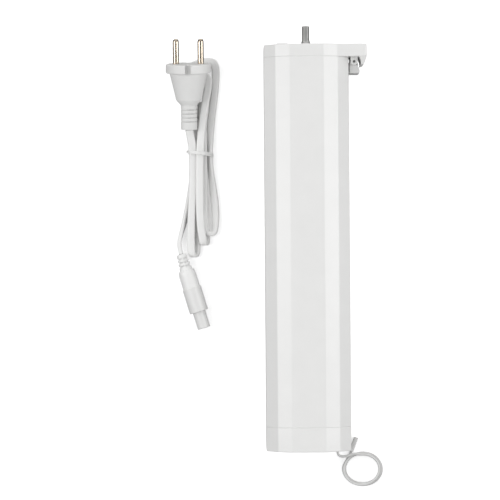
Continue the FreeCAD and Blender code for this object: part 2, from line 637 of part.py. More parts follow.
def make_housing():
    make_main_sleeve()
    make_head_cap()
    make_base_cap()
    to_seam = "%s - %s" % (S.head_length, S.screw_head_sink)
    screws("head_screws", HEAD_FACE, 1, "%s + %s" % (to_seam, S.screw_grip), port_places())
    screws("gearbox_screws", HEAD_FACE, 1, "%s + %s" % (to_seam, S.cover_thickness), gear_screw_places())
    screws("bottom_screws", BASE_FACE, -1, "%s - %s + %s" % (S.base_length, S.screw_head_sink,
                                                           S.screw_grip), port_places())
    make_lever()
    half = S.pad_width + " / 2"
    top = "%s - %s" % (FACET_Z, S.pad_edge_gap)
    node("end_pad", box("end_pad", ("%s - %s" % (S.pad_x, half), "%s + %s" % (S.pad_x, half)),
                        (HEAD_FACE, "%s + %s" % (HEAD_FACE, S.pad_thickness)),
                        ("%s - %s" % (top, S.pad_depth), top)))


# Heights along the drive axis, from the head down to the rotor's tail
COVER_LOW = "%s - %s" % (HEAD_SEAM, S.cover_thickness)
CASE_LOW = "%s - %s" % (COVER_LOW, S.case_length)
OUTPUT_TOP = "%s - %s" % (COVER_LOW, S.stage_gap)
OUTPUT_LOW = "%s - %s" % (OUTPUT_TOP, S.output_carrier_thickness)
STAGE_2_TOP = "%s - %s" % (OUTPUT_LOW, S.stage_gap)
STAGE_2_LOW = "%s - %s" % (STAGE_2_TOP, S.gear_width)
FIRST_TOP = "%s - %s" % (STAGE_2_LOW, S.stage_gap)
FIRST_LOW = "%s - %s" % (FIRST_TOP, S.first_carrier_thickness)
STAGE_1_TOP = "%s - %s" % (FIRST_LOW, S.stage_gap)
STAGE_1_LOW = "%s - %s" % (STAGE_1_TOP, S.gear_width)
MOTOR_LOW = "%s - %s" % (CASE_LOW, S.motor_length)
BELL_LOW = "%s - %s" % (MOTOR_LOW, S.end_bell_length)
DISC_TOP = "%s - %s" % (BELL_LOW, S.sensor_gap)
DISC_LOW = "%s - %s" % (DISC_TOP, S.disc_thickness)
SENSOR_TOP = "%s - %s" % (DISC_LOW, S.sensor_gap)
SENSOR_LOW = "%s - %s" % (SENSOR_TOP, S.sensor_board_thickness)

PLANETS = ("a", "b", "c")
FIRST_PLANET_ANGLE = 90.0


def involute(angle):
    return math.tan(angle) - angle


PRESSURE_ANGLE = math.radians(20)


def ring_teeth():
    """Teeth of the case: a planet spans from the sun's pitch circle to the case's."""
    return int(number(S.sun_teeth) + 2 * number(S.planet_teeth))


def tooth_half_angle(radius, pitch_radius, thinning, teeth):
    """Half of a tooth's angle at a radius on an involute flank, in radians."""
    cosine = min(1.0, pitch_radius * math.cos(PRESSURE_ANGLE) / radius)
    at_pitch = math.pi / 2 / teeth - thinning / 4 / pitch_radius
    return at_pitch + involute(PRESSURE_ANGLE) - involute(math.acos(cosine))


def gear_outline(teeth, inner, outer, thinning, first_tooth):
    """Closed outline of a toothed wheel: its first tooth points at an angle in degrees."""
    pitch_radius = number(MODULE) * teeth / 2
    base = pitch_radius * math.cos(PRESSURE_ANGLE)
    flank = [inner, pitch_radius, outer]
    points = []
    for tooth in range(teeth):
        centre = math.radians(first_tooth) + 2 * math.pi * tooth / teeth
        for side, radii in ((-1, flank), (1, flank[::-1])):
            for radius in radii:
                half = tooth_half_angle(max(radius, base), pitch_radius, thinning, teeth)
                turn = centre + side * half
                points.append(Vector(radius * math.cos(turn), 0, radius * math.sin(turn)))
    return Part.Face(Part.makePolygon(points + points[:1]))


def external_gear(teeth, first_tooth, width):
    """Spur gear from y = 0 upwards around the line through the origin."""
    module = number(MODULE)
    pitch_radius = module * teeth / 2
    inner = pitch_radius - module * number(S.tooth_dedendum)
    outer = pitch_radius + module * number(S.tooth_addendum)
    face = gear_outline(teeth, inner, outer, number(S.tooth_backlash), first_tooth)
    return face.extrude(Vector(0, width, 0))


def y_cylinder(radius, low, high, x=0.0, z=0.0):
    return Part.makeCylinder(radius, high - low, Vector(x, low, z), Vector(0, 1, 0))


def shaped(name, shape, x="0", y="0", z=AXIS_Z):
    """Sub-part whose shape is worked out here, placed by expressions."""
    feature = doc.addObject("Part::Feature", name)
    feature.Shape = shape
    place(feature, x, y, z)
    return node(name, feature)


def make_gear_case():
    """Gear case with internal teeth for both stages, and a floor with the motor's boss hole."""
    teeth = ring_teeth()
    module = number(MODULE)
    pitch_radius = module * teeth / 2
    tip = pitch_radius - module * number(S.tooth_addendum)
    root = pitch_radius + module * number(S.tooth_dedendum)
    space = gear_outline(teeth, tip, root, -number(S.tooth_backlash), FIRST_PLANET_ANGLE)
    length = number(S.case_length)
    floor = number(S.case_floor)
    solid = y_cylinder(number(CASE_RADIUS), 0, length)
    solid = solid.cut(space.extrude(Vector(0, length - floor, 0)).translated(Vector(0, floor, 0)))
    solid = solid.cut(y_cylinder(number(S.motor_boss) / 2, 0, floor))
    shaped("gear_case", solid, y=CASE_LOW)


def planet_turns():
    """Angle of each planet around the drive axis, in degrees."""
    count = len(PLANETS)
    return [(name, FIRST_PLANET_ANGLE + 360.0 * index / count) for index, name in enumerate(PLANETS)]


def planet_place(turn):
    return "%s * cos(%s)" % (PLANET_ORBIT, turn), "%s + %s * sin(%s)" % (AXIS_Z, PLANET_ORBIT, turn)


def make_planets(stage, low):
    bore = number(S.planet_pin_diameter) / 2 + number(S.shaft_fit)
    for name, turn in planet_turns():
        wheel = external_gear(int(number(S.planet_teeth)), turn, number(S.gear_width))
        wheel = wheel.cut(y_cylinder(bore, 0, number(S.gear_width)))
        x, z = planet_place(turn)
        shaped("stage_%d_planet_%s" % (stage, name), wheel, x, low, z)


def planet_pins(name, top, low):
    return [rod("%s_pin_%s" % (name, planet), S.planet_pin_diameter + " / 2",
                "%s - %s" % (low, S.pin_end_gap), top, *planet_place(turn))
            for planet, turn in planet_turns()]


def sun_gear():
    half_pitch = 180.0 / number(S.sun_teeth)
    return int(number(S.sun_teeth)), FIRST_PLANET_ANGLE + half_pitch


def make_carriers():
    plate = prism("output_plate", 24, CARRIER_RADIUS, OUTPUT_LOW, OUTPUT_TOP, "0", AXIS_Z)
    pilot = rod("output_pilot", S.pilot_diameter + " / 2", "%s - %s" % (OUTPUT_LOW, S.pilot_length),
                OUTPUT_LOW, "0", AXIS_Z)
    socket_low = "%s - %s" % (OUTPUT_TOP, S.shaft_socket)
    socket = rod("output_socket", S.shaft_diameter + " / 2", socket_low, OUTPUT_TOP, "0", AXIS_Z)
    joined = fuse("output_joined", plate, pilot, *planet_pins("output", OUTPUT_LOW, STAGE_2_LOW))
    node("output_carrier", cut("output_carrier", joined, socket))
    plate = prism("first_plate", 24, CARRIER_RADIUS, FIRST_LOW, FIRST_TOP, "0", AXIS_Z)
    joined = fuse("first_joined", plate, *planet_pins("first", FIRST_LOW, STAGE_1_LOW))
    bore = rod("first_bore", "%s / 2 + %s" % (S.pilot_diameter, S.shaft_fit), FIRST_TOP, STAGE_2_TOP,
               "0", AXIS_Z)
    sun = doc.addObject("Part::Feature", "first_sun")
    length = number(STAGE_2_TOP) - number(FIRST_TOP)
    sun.Shape = external_gear(*sun_gear(), length)
    place(sun, "0", FIRST_TOP, AXIS_Z)
    node("first_carrier", cut("first_carrier", fuse("first_body", joined, sun), bore))


def make_drive_shaft():
    """Steel shaft with a hexagonal end, its bush, and the flared collar at its foot."""
    foot = "%s - %s" % (OUTPUT_TOP, S.shaft_socket)
    neck = "%s + %s" % (HEAD_FACE, S.collar_gap)
    stem = rod("shaft_stem", S.shaft_diameter + " / 2", foot, neck, "0", AXIS_Z)
    hexagon = doc.addObject("Part::Prism", "shaft_hexagon")
    hexagon.Polygon = 6
    hexagon.Placement = Placement(Vector(), Rotation(Vector(1, 0, 0), -90))
    bind(hexagon, Circumradius="%s / 2 / cos(30)" % S.hex_across_flats,
         Height="%s - %s" % (S.hex_reach, S.collar_gap))
    place(hexagon, "0", neck, AXIS_Z)
    node("drive_shaft", fuse("drive_shaft", stem, hexagon))
    top = "%s + %s" % (neck, S.collar_length)
    flare = many_sided("collar_flare", 24, [
        (S.collar_diameter + " / 2", neck),
        (S.collar_diameter + " / 2", "%s + %s / 4" % (neck, S.collar_length)),
        (S.collar_waist + " / 2", top)], "0", AXIS_Z)
    hole = doc.addObject("Part::Prism", "collar_hole")
    hole.Polygon = 6
    hole.Placement = Placement(Vector(), Rotation(Vector(1, 0, 0), -90))
    bind(hole, Circumradius="%s / 2 / cos(30)" % S.hex_across_flats, Height=S.collar_length)
    place(hole, "0", neck, AXIS_Z)
    node("shaft_collar", cut("shaft_collar", flare, hole))
    bush_bore = "%s / 2 + %s" % (S.shaft_diameter, S.shaft_fit)
    step = "%s + %s" % (HEAD_SEAM, S.bush_flange_thickness)
    end = "%s - %s" % (HEAD_FACE, S.bush_depth)
    flange = prism("bush_flange", 24, S.bush_flange + " / 2", HEAD_SEAM, step, "0", AXIS_Z)
    barrel = prism("bush_barrel", 24, S.bush_outer + " / 2", HEAD_SEAM, end, "0", AXIS_Z)
    node("output_bush", cut("output_bush", fuse("bush_body", flange, barrel),
                            rod("bush_bore", bush_bore, HEAD_SEAM, end, "0", AXIS_Z)))
    cover = prism("cover_disc", 48, CASE_RADIUS, COVER_LOW, HEAD_SEAM, "0", AXIS_Z)
    holes = [prism("cover_bore", 24, S.shaft_hole + " / 2", COVER_LOW, HEAD_SEAM, "0", AXIS_Z)]
    for index, (x, z) in enumerate(gear_screw_places()):
        holes.append(prism("cover_hole_%d" % index, 8, S.port_bore + " / 2", COVER_LOW, HEAD_SEAM, x, z))
    node("gear_case_cover", cut("gear_case_cover", cover, *holes))


ROUND_SIDES = 32


def around(radius):
    """Corner radius of a many-sided hole that goes round a circle."""
    return "(%s) / cos(180 / %d)" % (radius, ROUND_SIDES)


def make_motor():
    shaft_bore = "%s / 2 + %s" % (S.motor_shaft_diameter, S.shaft_fit)
    outer = MOTOR_RADIUS
    inner = "%s - %s" % (outer, S.motor_wall)
    boss_top = "%s + %s" % (CASE_LOW, S.case_floor)
    plate_low = "%s - %s" % (CASE_LOW, S.motor_front)
    shell = prism("can_outside", ROUND_SIDES, outer, MOTOR_LOW, CASE_LOW, "0", AXIS_Z)
    boss = rod("can_boss", S.motor_boss + " / 2", CASE_LOW, boss_top, "0", AXIS_Z)
    space = prism("can_inside", ROUND_SIDES, around(inner), MOTOR_LOW, plate_low, "0", AXIS_Z)
    hole = rod("can_hole", shaft_bore, plate_low, boss_top, "0", AXIS_Z)
    node("motor_can", cut("motor_can", fuse("can_body", shell, boss), space, hole))
    middle = "(%s + %s) / 2 + %s / 2" % (plate_low, MOTOR_LOW, S.commutator_length)
    make_magnets(inner, middle)
    make_rotor(middle)
    bell = collar("bell", ROUND_SIDES, outer, shaft_bore, BELL_LOW, MOTOR_LOW)
    spacers = [prism("sensor_spacer_%s" % side, 8, S.motor_wall, SENSOR_TOP, BELL_LOW,
                     "%s * 2 / 3 * %s" % (sign, outer), AXIS_Z)
               for side, sign in (("left", "-1"), ("right", "1"))]
    node("motor_end_bell", fuse("motor_end_bell", bell, *spacers))
    commutator_top = "%s + %s + %s" % (MOTOR_LOW, S.sensor_gap, S.commutator_length)
    touch = "%s / 2 + %s" % (S.commutator_diameter, S.shaft_fit)
    reach = "%s - %s" % (inner, S.motor_wall)
    half = S.brush_height + " / 2"
    low = "%s - %s - %s" % (commutator_top, S.sensor_gap, S.brush_width)
    brushes = [box("brush_%s" % side, span, (MOTOR_LOW, "%s + %s" % (low, S.brush_width)),
                   ("%s - %s" % (AXIS_Z, half), "%s + %s" % (AXIS_Z, half)))
               for side, span in (("left", (minus(reach), minus(touch))), ("right", (touch, reach)))]
    node("motor_brushes", group("motor_brushes", *brushes))
    board = box("sensor_plate", (minus(outer), outer), (SENSOR_LOW, SENSOR_TOP),
                ("%s - 2 / 3 * %s" % (AXIS_Z, outer), "%s + 2 / 3 * %s" % (AXIS_Z, outer)))
    node("sensor_board", board)
    node("front_damper", damper_ring("front_damper", CASE_RADIUS,
                                     "%s - %s - %s" % (COVER_LOW, S.damper_front_inset, S.damper_width)))
    node("rear_damper", damper_ring("rear_damper", outer, "%s + %s" % (MOTOR_LOW, S.damper_rear_inset)))


def damper_ring(name, inner, low):
    """Rubber ring that seats the gearmotor between the sleeve's front and back walls."""
    high = "%s + %s" % (low, S.damper_width)
    return cut(name, prism(name + "_outside", ROUND_SIDES, SEAT_RADIUS, low, high, "0", AXIS_Z),
               prism(name + "_inside", ROUND_SIDES, around(inner), low, high, "0", AXIS_Z))


def make_magnets(outer, middle):
    """Two curved magnets against the inside of the can."""
    low = "%s - %s / 2" % (middle, S.magnet_length)
    arcs = []
    for side, turn in (("left", 180.0), ("right", 0.0)):
        wedge = rod("magnet_%s_outer" % side, outer, low, "%s + %s" % (low, S.magnet_length), "0", AXIS_Z)
        bind(wedge, Angle=S.magnet_angle)
        start = "%s - %s / 2" % (turn, S.magnet_angle)
        turned_cylinder(wedge, start)
        core = rod("magnet_%s_core" % side, "%s - %s" % (outer, S.magnet_thickness), low,
                   "%s + %s" % (low, S.magnet_length), "0", AXIS_Z)
        arcs.append(cut("magnet_%s" % side, wedge, core))
    node("motor_magnets", group("motor_magnets", *arcs))


def turned_cylinder(wedge, start):
    """Turns a part cylinder about its own axis, which lies along Y."""
    about_own_axis = Rotation(Vector(0, 0, 1), number(start))
    wedge.Placement = Placement(wedge.Placement.Base, Rotation(Vector(1, 0, 0), -90) * about_own_axis)


def make_rotor(middle):
    tail = DISC_LOW
    node("rotor_shaft", rod("rotor_shaft", S.motor_shaft_diameter + " / 2", tail, STAGE_1_LOW, "0", AXIS_Z))
    low = "%s - %s / 2" % (middle, S.core_length)
    high = "%s + %s" % (low, S.core_length)
    radius = "%s - %s - %s - %s" % (MOTOR_RADIUS, S.motor_wall, S.magnet_thickness, S.air_gap)
    core = prism("core_disc", 30, radius, low, high, "0", AXIS_Z)
    tools = [rod("core_bore", S.motor_shaft_diameter + " / 2", low, high, "0", AXIS_Z)]
    count = int(number(S.rotor_slots))
    for index in range(count):
        slot = box("rotor_slot_%d" % index, (minus(S.slot_width + " / 2"), S.slot_width + " / 2"),
                   ("0", S.core_length), ("%s - %s" % (radius, S.slot_depth), MOTOR_RADIUS))
        carrier = doc.addObject("Part::Compound", "rotor_slot_turn_%d" % index)
        carrier.Links = [slot]
        carrier.Placement = Placement(Vector(), Rotation(Vector(0, 1, 0), 360.0 * index / count))
        place(carrier, "0", low, AXIS_Z)
        tools.append(carrier)
    node("rotor_core", cut("rotor_core", core, *tools))
    bore = S.motor_shaft_diameter + " / 2"
    coil = "%s - %s" % (radius, S.slot_depth)
    ends = [collar("winding_%s" % end, 24, coil, bore, start, "%s + %s" % (start, S.slot_depth))
            for end, start in (("front", high), ("rear", "%s - %s" % (low, S.slot_depth)))]
    node("rotor_windings", group("rotor_windings", *ends))
    bottom = "%s + %s" % (MOTOR_LOW, S.sensor_gap)
    node("commutator", collar("commutator", 24, S.commutator_diameter + " / 2", bore, bottom,
                              "%s + %s" % (bottom, S.commutator_length)))
    pinion = external_gear(*sun_gear(), number(S.gear_width))
    shaped("motor_pinion", pinion, y=STAGE_1_LOW)
    node("speed_disc", collar("speed_disc", 24, S.disc_diameter + " / 2", bore, DISC_LOW, DISC_TOP))


CONTROL_LOW = "%s + %s" % (BASE_SEAM, S.board_end_gap)
CONTROL_TOP = "%s + %s" % (CONTROL_LOW, S.control_length)
POWER_LOW = "%s + %s" % (CONTROL_TOP, S.boards_gap)
POWER_TOP = "%s - %s" % (SENSOR_LOW, S.power_end_gap)
BOARD_TOP = "%s + %s" % (S.board_height, S.board_thickness)


def board(name, low, high):
    half = "%s - %s" % (INSIDE_X, S.board_side_gap)
    node(name, box(name, (minus(half), half), (low, high), (S.board_height, BOARD_TOP)))


def on_board(name, x, y, height):
    """Block that stands on a board."""
    return box(name, x, y, (BOARD_TOP, "%s + %s" % (BOARD_TOP, height)))


def make_boards():
    board("control_board", CONTROL_LOW, CONTROL_TOP)
    board("power_board", POWER_LOW, POWER_TOP)
    half = S.transformer_width + " / 2"
    low = "%s + %s" % (POWER_LOW, S.parts_gap)
    core = on_board("transformer_core", (minus(half), half),
                    (low, "%s + %s" % (low, S.transformer_length)), S.transformer_height)
    node("transformer", core)
    lying = "%s + %s / 2" % (BOARD_TOP, S.capacitor_diameter)
    start = "%s + %s + %s" % (low, S.transformer_length, S.parts_gap)
    cans = [prism("capacitor_%s" % side, 16, S.capacitor_diameter + " / 2", start,
                  "%s + %s" % (start, S.capacitor_length), x, lying)
            for side, x in (("left", minus(S.capacitor_diameter)), ("right", S.capacitor_diameter))]
    node("capacitors", group("capacitors", *cans))
    node("fuse", prism("fuse", 12, S.fuse_diameter + " / 2", low, "%s + %s" % (low, S.fuse_length),
                       "%s + %s" % (half, S.fuse_diameter),
                       "%s + %s / 2" % (BOARD_TOP, S.fuse_diameter)))
    radio_low = "%s - %s - %s" % (CONTROL_TOP, S.boards_gap, S.radio_length)
    node("radio_module", on_board("radio_module", (S.boards_gap, "%s + %s" % (S.boards_gap, S.radio_width)),
                                  (radio_low, "%s + %s" % (radio_low, S.radio_length)), S.radio_height))


BUTTON_FACE = "%s - %s" % (BASE_FACE, S.button_reach)
CAP_FLOOR = "%s + %s" % (BASE_FACE, S.wall)


def make_bottom_fittings():
    """Power inlet with two contact pins, set button with its switch, and the aerial's grommet."""
    flange_top = "%s + %s" % (CAP_FLOOR, S.wall)
    back = "%s + %s" % (BASE_FACE, S.inlet_depth)
    closed = "%s + %s" % (back, S.wall)
    shell = prism("inlet_shell", 36, S.inlet_outer + " / 2", BASE_FACE, closed, S.inlet_x, S.inlet_height)
    flange = prism("inlet_flange", 24, S.inlet_flange + " / 2", CAP_FLOOR, flange_top,
                   S.inlet_x, S.inlet_height)
    bore = rod("inlet_bore", S.inlet_bore + " / 2", BASE_FACE, back, S.inlet_x, S.inlet_height)
    node("power_inlet", cut("power_inlet", fuse("inlet_body", shell, flange), bore))
    pins = [prism("inlet_pin_%s" % side, 12, S.inlet_pin_diameter + " / 2",
                  "%s - %s" % (back, S.inlet_pin_length), back,
                  "%s %s %s / 2" % (S.inlet_x, sign, S.inlet_pin_pitch), S.inlet_height)
            for side, sign in (("left", "-"), ("right", "+"))]
    node("inlet_pins", group("inlet_pins", *pins))
    make_set_button()
    make_grommet()


def make_set_button():
    """Button in the bottom face: its flange stops it, its stem presses the switch."""
    clear = "%s + %s + %s" % (CAP_FLOOR, S.button_travel, S.button_flange_thickness)
    stem_end = "%s + %s" % (clear, S.button_stem)
    cap = rod("button_cap", S.button_diameter + " / 2", BUTTON_FACE, CAP_FLOOR, S.button_x, S.button_height)
    flange = prism("button_flange", 24, S.button_flange + " / 2", CAP_FLOOR,
                   "%s + %s" % (CAP_FLOOR, S.button_flange_thickness), S.button_x, S.button_height)
    stem = prism("button_stem", 12, S.button_stem + " / 2", CAP_FLOOR, stem_end,
                 S.button_x, S.button_height)
    node("set_button", fuse("set_button", cap, flange, stem))
    half = S.switch_size + " / 2"
    plate_low = "%s + %s + %s" % (stem_end, S.button_travel, S.switch_gap)
    switch_top = "%s + %s" % (plate_low, S.switch_size)
    block = box("switch_block", ("%s - %s" % (S.button_x, half), "%s + %s" % (S.button_x, half)),
                (plate_low, switch_top), ("%s - %s" % (S.button_height, half),
                                          "%s + %s" % (S.button_height, half)))
    leg = box("switch_leg", ("%s - %s" % (S.button_x, half), "%s + %s" % (S.button_x, half)),
              (switch_top, "%s + %s" % (CONTROL_LOW, S.switch_size)),
              (BOARD_TOP, "%s + %s" % (S.button_height, half)))
    node("set_switch", fuse("set_switch", block, leg))


def make_grommet():
    outer = S.grommet_diameter + " / 2"
    lip = "%s + %s" % (outer, S.grommet_lip)
    bore = S.aerial_diameter + " / 2"
    face = "%s - %s" % (BASE_FACE, S.grommet_reach)
    inner_end = "%s + %s" % (CAP_FLOOR, S.grommet_lip)
    at = (S.aerial_x, S.aerial_height)
    cone = many_sided("grommet_cone", 20, [("%s + %s" % (bore, S.grommet_lip), face), (lip, BASE_FACE)], *at)
    neck = prism("grommet_neck", 20, outer, BASE_FACE, CAP_FLOOR, *at)
    catch = prism("grommet_catch", 20, lip, CAP_FLOOR, inner_end, *at)
    node("aerial_grommet", cut("aerial_grommet", fuse("grommet_body", cone, neck, catch),
                               rod("grommet_bore", bore, face, inner_end, *at)))


def arc_edge(start, tangent, end):
    """Arc from a start point with a known tangent to an end point, or a straight edge."""
    chord = end - start
    along = Vector(chord).normalize()
    across = tangent - along * tangent.dot(along)
    if across.Length < 1e-6:
        return Part.LineSegment(start, end).toShape()
    half_turn = math.acos(max(-1.0, min(1.0, tangent.dot(along))))
    rise = chord.Length / 2 * math.tan(half_turn / 2)
    middle = (start + end) * 0.5 + across.normalize() * rise
    return Part.Arc(start, middle, end).toShape()


def biarc_edges(start, start_tangent, end, end_tangent):
    """Two tangent arcs between two points with given unit tangents."""
    gap = end - start
    both = start_tangent + end_tangent
    turn = 2 * (1 - start_tangent.dot(end_tangent))
    if turn < 1e-9:
        reach = gap.dot(gap) / (4 * gap.dot(start_tangent))
    else:
        root = math.sqrt(gap.dot(both) ** 2 + turn * gap.dot(gap))
        reach = (root - gap.dot(both)) / turn
    joint = (start + start_tangent * reach + end - end_tangent * reach) * 0.5
    second_tangent = (end - end_tangent * reach - joint).normalize()
    return [arc_edge(start, start_tangent, joint), arc_edge(joint, second_tangent, end)]


def smooth_edges(stations):
    """Biarcs through stations, each a point and a unit tangent."""
    edges = []
    for (start, start_tangent), (end, end_tangent) in zip(stations, stations[1:]):
        edges += biarc_edges(start, start_tangent, end, end_tangent)
    return edges


def route_edges(points, name, diameter):
    """Straight runs joined by arcs whose radius follows from the shorter run beside each."""
    edges, radii = [], []
    here = points[0]
    for before, corner, after in zip(points, points[1:], points[2:]):
        into = (corner - before).normalize()
        out = (after - corner).normalize()
        half_turn = into.getAngle(out) / 2
        reach = 0.45 * min(before.distanceToPoint(corner), corner.distanceToPoint(after))
        radii.append(reach / math.tan(half_turn))
        entry, leave = corner - into * reach, corner + out * reach
        edges.append(Part.LineSegment(here, entry).toShape())
        edges.append(arc_edge(entry, into, leave))
        here = leave
    edges.append(Part.LineSegment(here, points[-1]).toShape())
    print(name, "radii in diameters", [round(radius / diameter, 1) for radius in radii])
    return edges


TUBE_SIDES = 6


def tube(name, edges, diameter):
    """Faceted tube along tangent edges, with its volume held against its length."""
    path = Part.Wire(edges)
    start = edges[0].valueAt(edges[0].FirstParameter)
    along = edges[0].tangentAt(edges[0].FirstParameter).normalize()
    side = Vector(0, 0, 1).cross(along).normalize()
    up = along.cross(side)
    corners = [start + (side * math.cos(turn) + up * math.sin(turn)) * (diameter / 2)
               for turn in (2 * math.pi * (k + 0.5) / TUBE_SIDES for k in range(TUBE_SIDES))]
    section = Part.makePolygon(corners + corners[:1])
    solid = path.makePipeShell([section], True, False)
    share = solid.Volume / (Part.Face(section).Area * path.Length)
    print("%s: length %.1f, volume share %.4f" % (name, path.Length, share))
    return solid


def least_gap(edges, diameter):
    """Least gap of a tube to itself, from points along its centre line."""
    step = diameter / 3
    line = []
    for edge in edges:
        line += edge.discretize(max(2, int(edge.Length / step) + 1))[:-1]
    lengths = [0.0]
    for start, end in zip(line, line[1:]):
        lengths.append(lengths[-1] + start.distanceToPoint(end))
    beside = 4 * diameter
    return min(a.distanceToPoint(b) for i, a in enumerate(line) for j, b in enumerate(line[:i])
               if lengths[i] - lengths[j] > beside) - diameter


# Hank of flat cord. Each strand passes the waist where the tie holds it: x, z and its heading,
# 1 towards the pins and -1 away from them. Folds join strand to strand: y, then the x and z of
# the strand that enters and of the strand that leaves.
WAIST = ((-86.4, 11.3, -1), (-85.3, 7.1, 1), (-80.0, 11.3, -1), (-79.1, 2.9, 1), (-79.2, 7.1, -1),
         (-74.0, 4.7, 1), (-85.3, 2.9, -1))
FOLDS = ((-0.9, -84.5, 7.4, -90.8, 3.6), (125.0, -86.0, 6.1, -78.2, 10.3),
         (7.9, -78.8, 7.9, -83.2, 1.9), (108.0, -83.7, 1.9, -77.6, 6.2),
         (15.3, -76.0, 4.7, -68.8, 3.2))
LAST_FOLD = ((-69.4, 131.0, 2.4), (-80.0, 144.0, 3.2), (-91.0, 131.0, 1.95))
HANK_END = (-88.6, 45.0, 1.95)
HANK_END_HEADING = (-0.22, -0.975, 0.0)
CONNECTOR_STRAND = ((-91.5, 32.2, 1.9), (-95.8, 20.0, 2.6), (-99.0, 11.5, 5.0))

# Aerial wire from its grommet to the coil, and from the coil to its tip
AERIAL_LEAD = ((24.7, -162.2, 11.9), (28.3, -162.8, 11.8), (31.3, -160.9, 11.7))
AERIAL_TAIL, AERIAL_TAIL_HEADING = (30.4, -164.4, 1.05), (0.87, 0.5, 0.0)
COIL_START, COIL_SWEEP = 100.0, 1000.0


def unit(x, y, z):
    return Vector(x, y, z).normalize()


def plug_point(along):
    """Point on the plug's tilted centre line, and the line's direction towards the pins."""
    tilt = math.radians(number(S.plug_tilt))
    heading = Vector(0, math.cos(tilt), math.sin(tilt))
    return Vector(number(S.plug_x), number(S.plug_y), number(S.plug_height)) + heading * along, heading


def connector_point():
    turn = math.radians(number(S.connector_turn))
    heading = Vector(math.sin(turn), -math.cos(turn), 0)
    return Vector(number(S.connector_x), number(S.connector_y), number(S.connector_height)), heading


PLUG_TAPER = "%s + %s" % (S.flange_thickness, S.plug_body_length)
RELIEF_START = "%s + %s" % (PLUG_TAPER, S.plug_end_length)
RELIEF_END = "%s + %s" % (RELIEF_START, S.relief_length)


def hank_stations():
    """Points and headings along the hank, from the plug's strain relief to the last strand."""
    waist_y = number(S.tie_y)
    exit_point, heading = plug_point(-number(RELIEF_END))
    stub = number(S.cord_thickness)
    stations = [(exit_point, heading * -1), (exit_point - heading * stub, heading * -1)]
    folds = list(FOLDS)
    for x, z, way in WAIST:
        stations.append((Vector(x, waist_y, z), Vector(0, way, 0)))
        if folds:
            y, x_in, z_in, x_out, z_out = folds.pop(0)
            stations.append((Vector(x_in, y, z_in), Vector(0, way, 0)))
            stations.append((Vector(x_out, y, z_out), Vector(0, -way, 0)))
        elif way > 0:
            for place_on_fold, turn in zip(LAST_FOLD, ((0, 1, 0), (-1, 0, 0), (0, -1, 0))):
                stations.append((Vector(*place_on_fold), Vector(*turn)))
    end, last = Vector(*HANK_END), unit(*HANK_END_HEADING)
    stations.append((end - last * stub, last))
    stations.append((end, last))
    return stations


def make_hank():
    diameter = number(S.cord_thickness)
    edges = smooth_edges(hank_stations())
    print("hank: least gap to itself %.2f" % least_gap(edges, diameter))
    shaped("cord_hank", tube("hank", edges, diameter), z="0")
    end, last = Vector(*HANK_END), unit(*HANK_END_HEADING)
    socket, heading = connector_point()
    points = [end] + [Vector(*point) for point in CONNECTOR_STRAND]
    points += [socket - heading * number(S.connector_run), socket]
    strand = route_edges(points, "connector strand", diameter)
    shaped("connector_strand", tube("connector strand", strand, diameter), z="0")


def coil_point(share):
    """Point on the aerial's loose coil, from its top at 0 to the floor at 1."""
    turn = math.radians(COIL_START - COIL_SWEEP * share)
    turns = COIL_SWEEP / 360
    loose = 1 + number(S.coil_looseness) * math.sin(2.3 * share * turns)
    drift = number(S.coil_drift) * math.sin(1.9 * share * turns + 0.6)
    x = number(S.coil_centre_x) + drift + number(S.coil_half_width) * loose * math.cos(turn)
    y = number(S.coil_centre_y) - drift + number(S.coil_half_height) * loose * math.sin(turn)
    floor = number(S.aerial_diameter) / 2
    return Vector(x, y, floor + number(S.coil_pitch) * turns * (1 - share))


def coil_stations():
    """Four stations a turn."""
    steps = round(COIL_SWEEP / 90)
    small = 1e-4
    stations = []
    for k in range(steps + 1):
        share = k / steps
        heading = coil_point(share + small) - coil_point(share - small)
        stations.append((coil_point(share), heading.normalize()))
    return stations


def make_aerial():
    """Thin wire: out of the grommet, three loose turns, then its thicker end sleeve."""
    diameter = number(S.aerial_diameter)
    stations = coil_stations()
    start, heading = stations[0]
    out = start - heading * diameter
    lead_start = Vector(number(S.aerial_x), number("%s - %s" % (BASE_FACE, S.grommet_reach)),
                        number(S.aerial_height))
    points = [lead_start, lead_start - Vector(0, number(S.aerial_run), 0)]
    points += [Vector(*point) for point in AERIAL_LEAD] + [out - heading * number(S.aerial_run), out]
    lead = route_edges(points, "aerial lead", diameter)
    shaped("aerial_lead", tube("aerial lead", lead, diameter), z="0")
    tip = Vector(number(S.tip_x), number(S.tip_y), number(S.tip_diameter) / 2)
    turn = math.radians(number(S.tip_turn))
    tip_heading = Vector(math.sin(turn), math.cos(turn), 0)
    stations.append((Vector(*AERIAL_TAIL), unit(*AERIAL_TAIL_HEADING)))
    stations.append((tip - tip_heading * diameter, tip_heading))
    stations.append((tip, tip_heading))
    wound = [Part.LineSegment(out, start).toShape()] + smooth_edges(stations)
    print("aerial coil: least gap to itself %.2f" % least_gap(wound, diameter))
    shaped("aerial_coil", tube("aerial coil", wound, diameter), z="0")
    sleeve = turned("aerial_tip", [
        ("0", "0"), (S.tip_diameter + " / 2", "0"), (S.tip_diameter + " / 2", S.tip_length),
        (S.aerial_diameter + " / 2", S.tip_length),
        (S.aerial_diameter + " / 2", "%s - %s" % (S.tip_length, S.tip_bore_depth)),
        ("0", "%s - %s" % (S.tip_length, S.tip_bore_depth))])
    sleeve.Placement = Placement(Vector(), Rotation(Vector(0, 0, 1), -number(S.tip_turn)))
    place(sleeve, S.tip_x, S.tip_y, S.tip_diameter + " / 2")
    node("aerial_tip", sleeve)


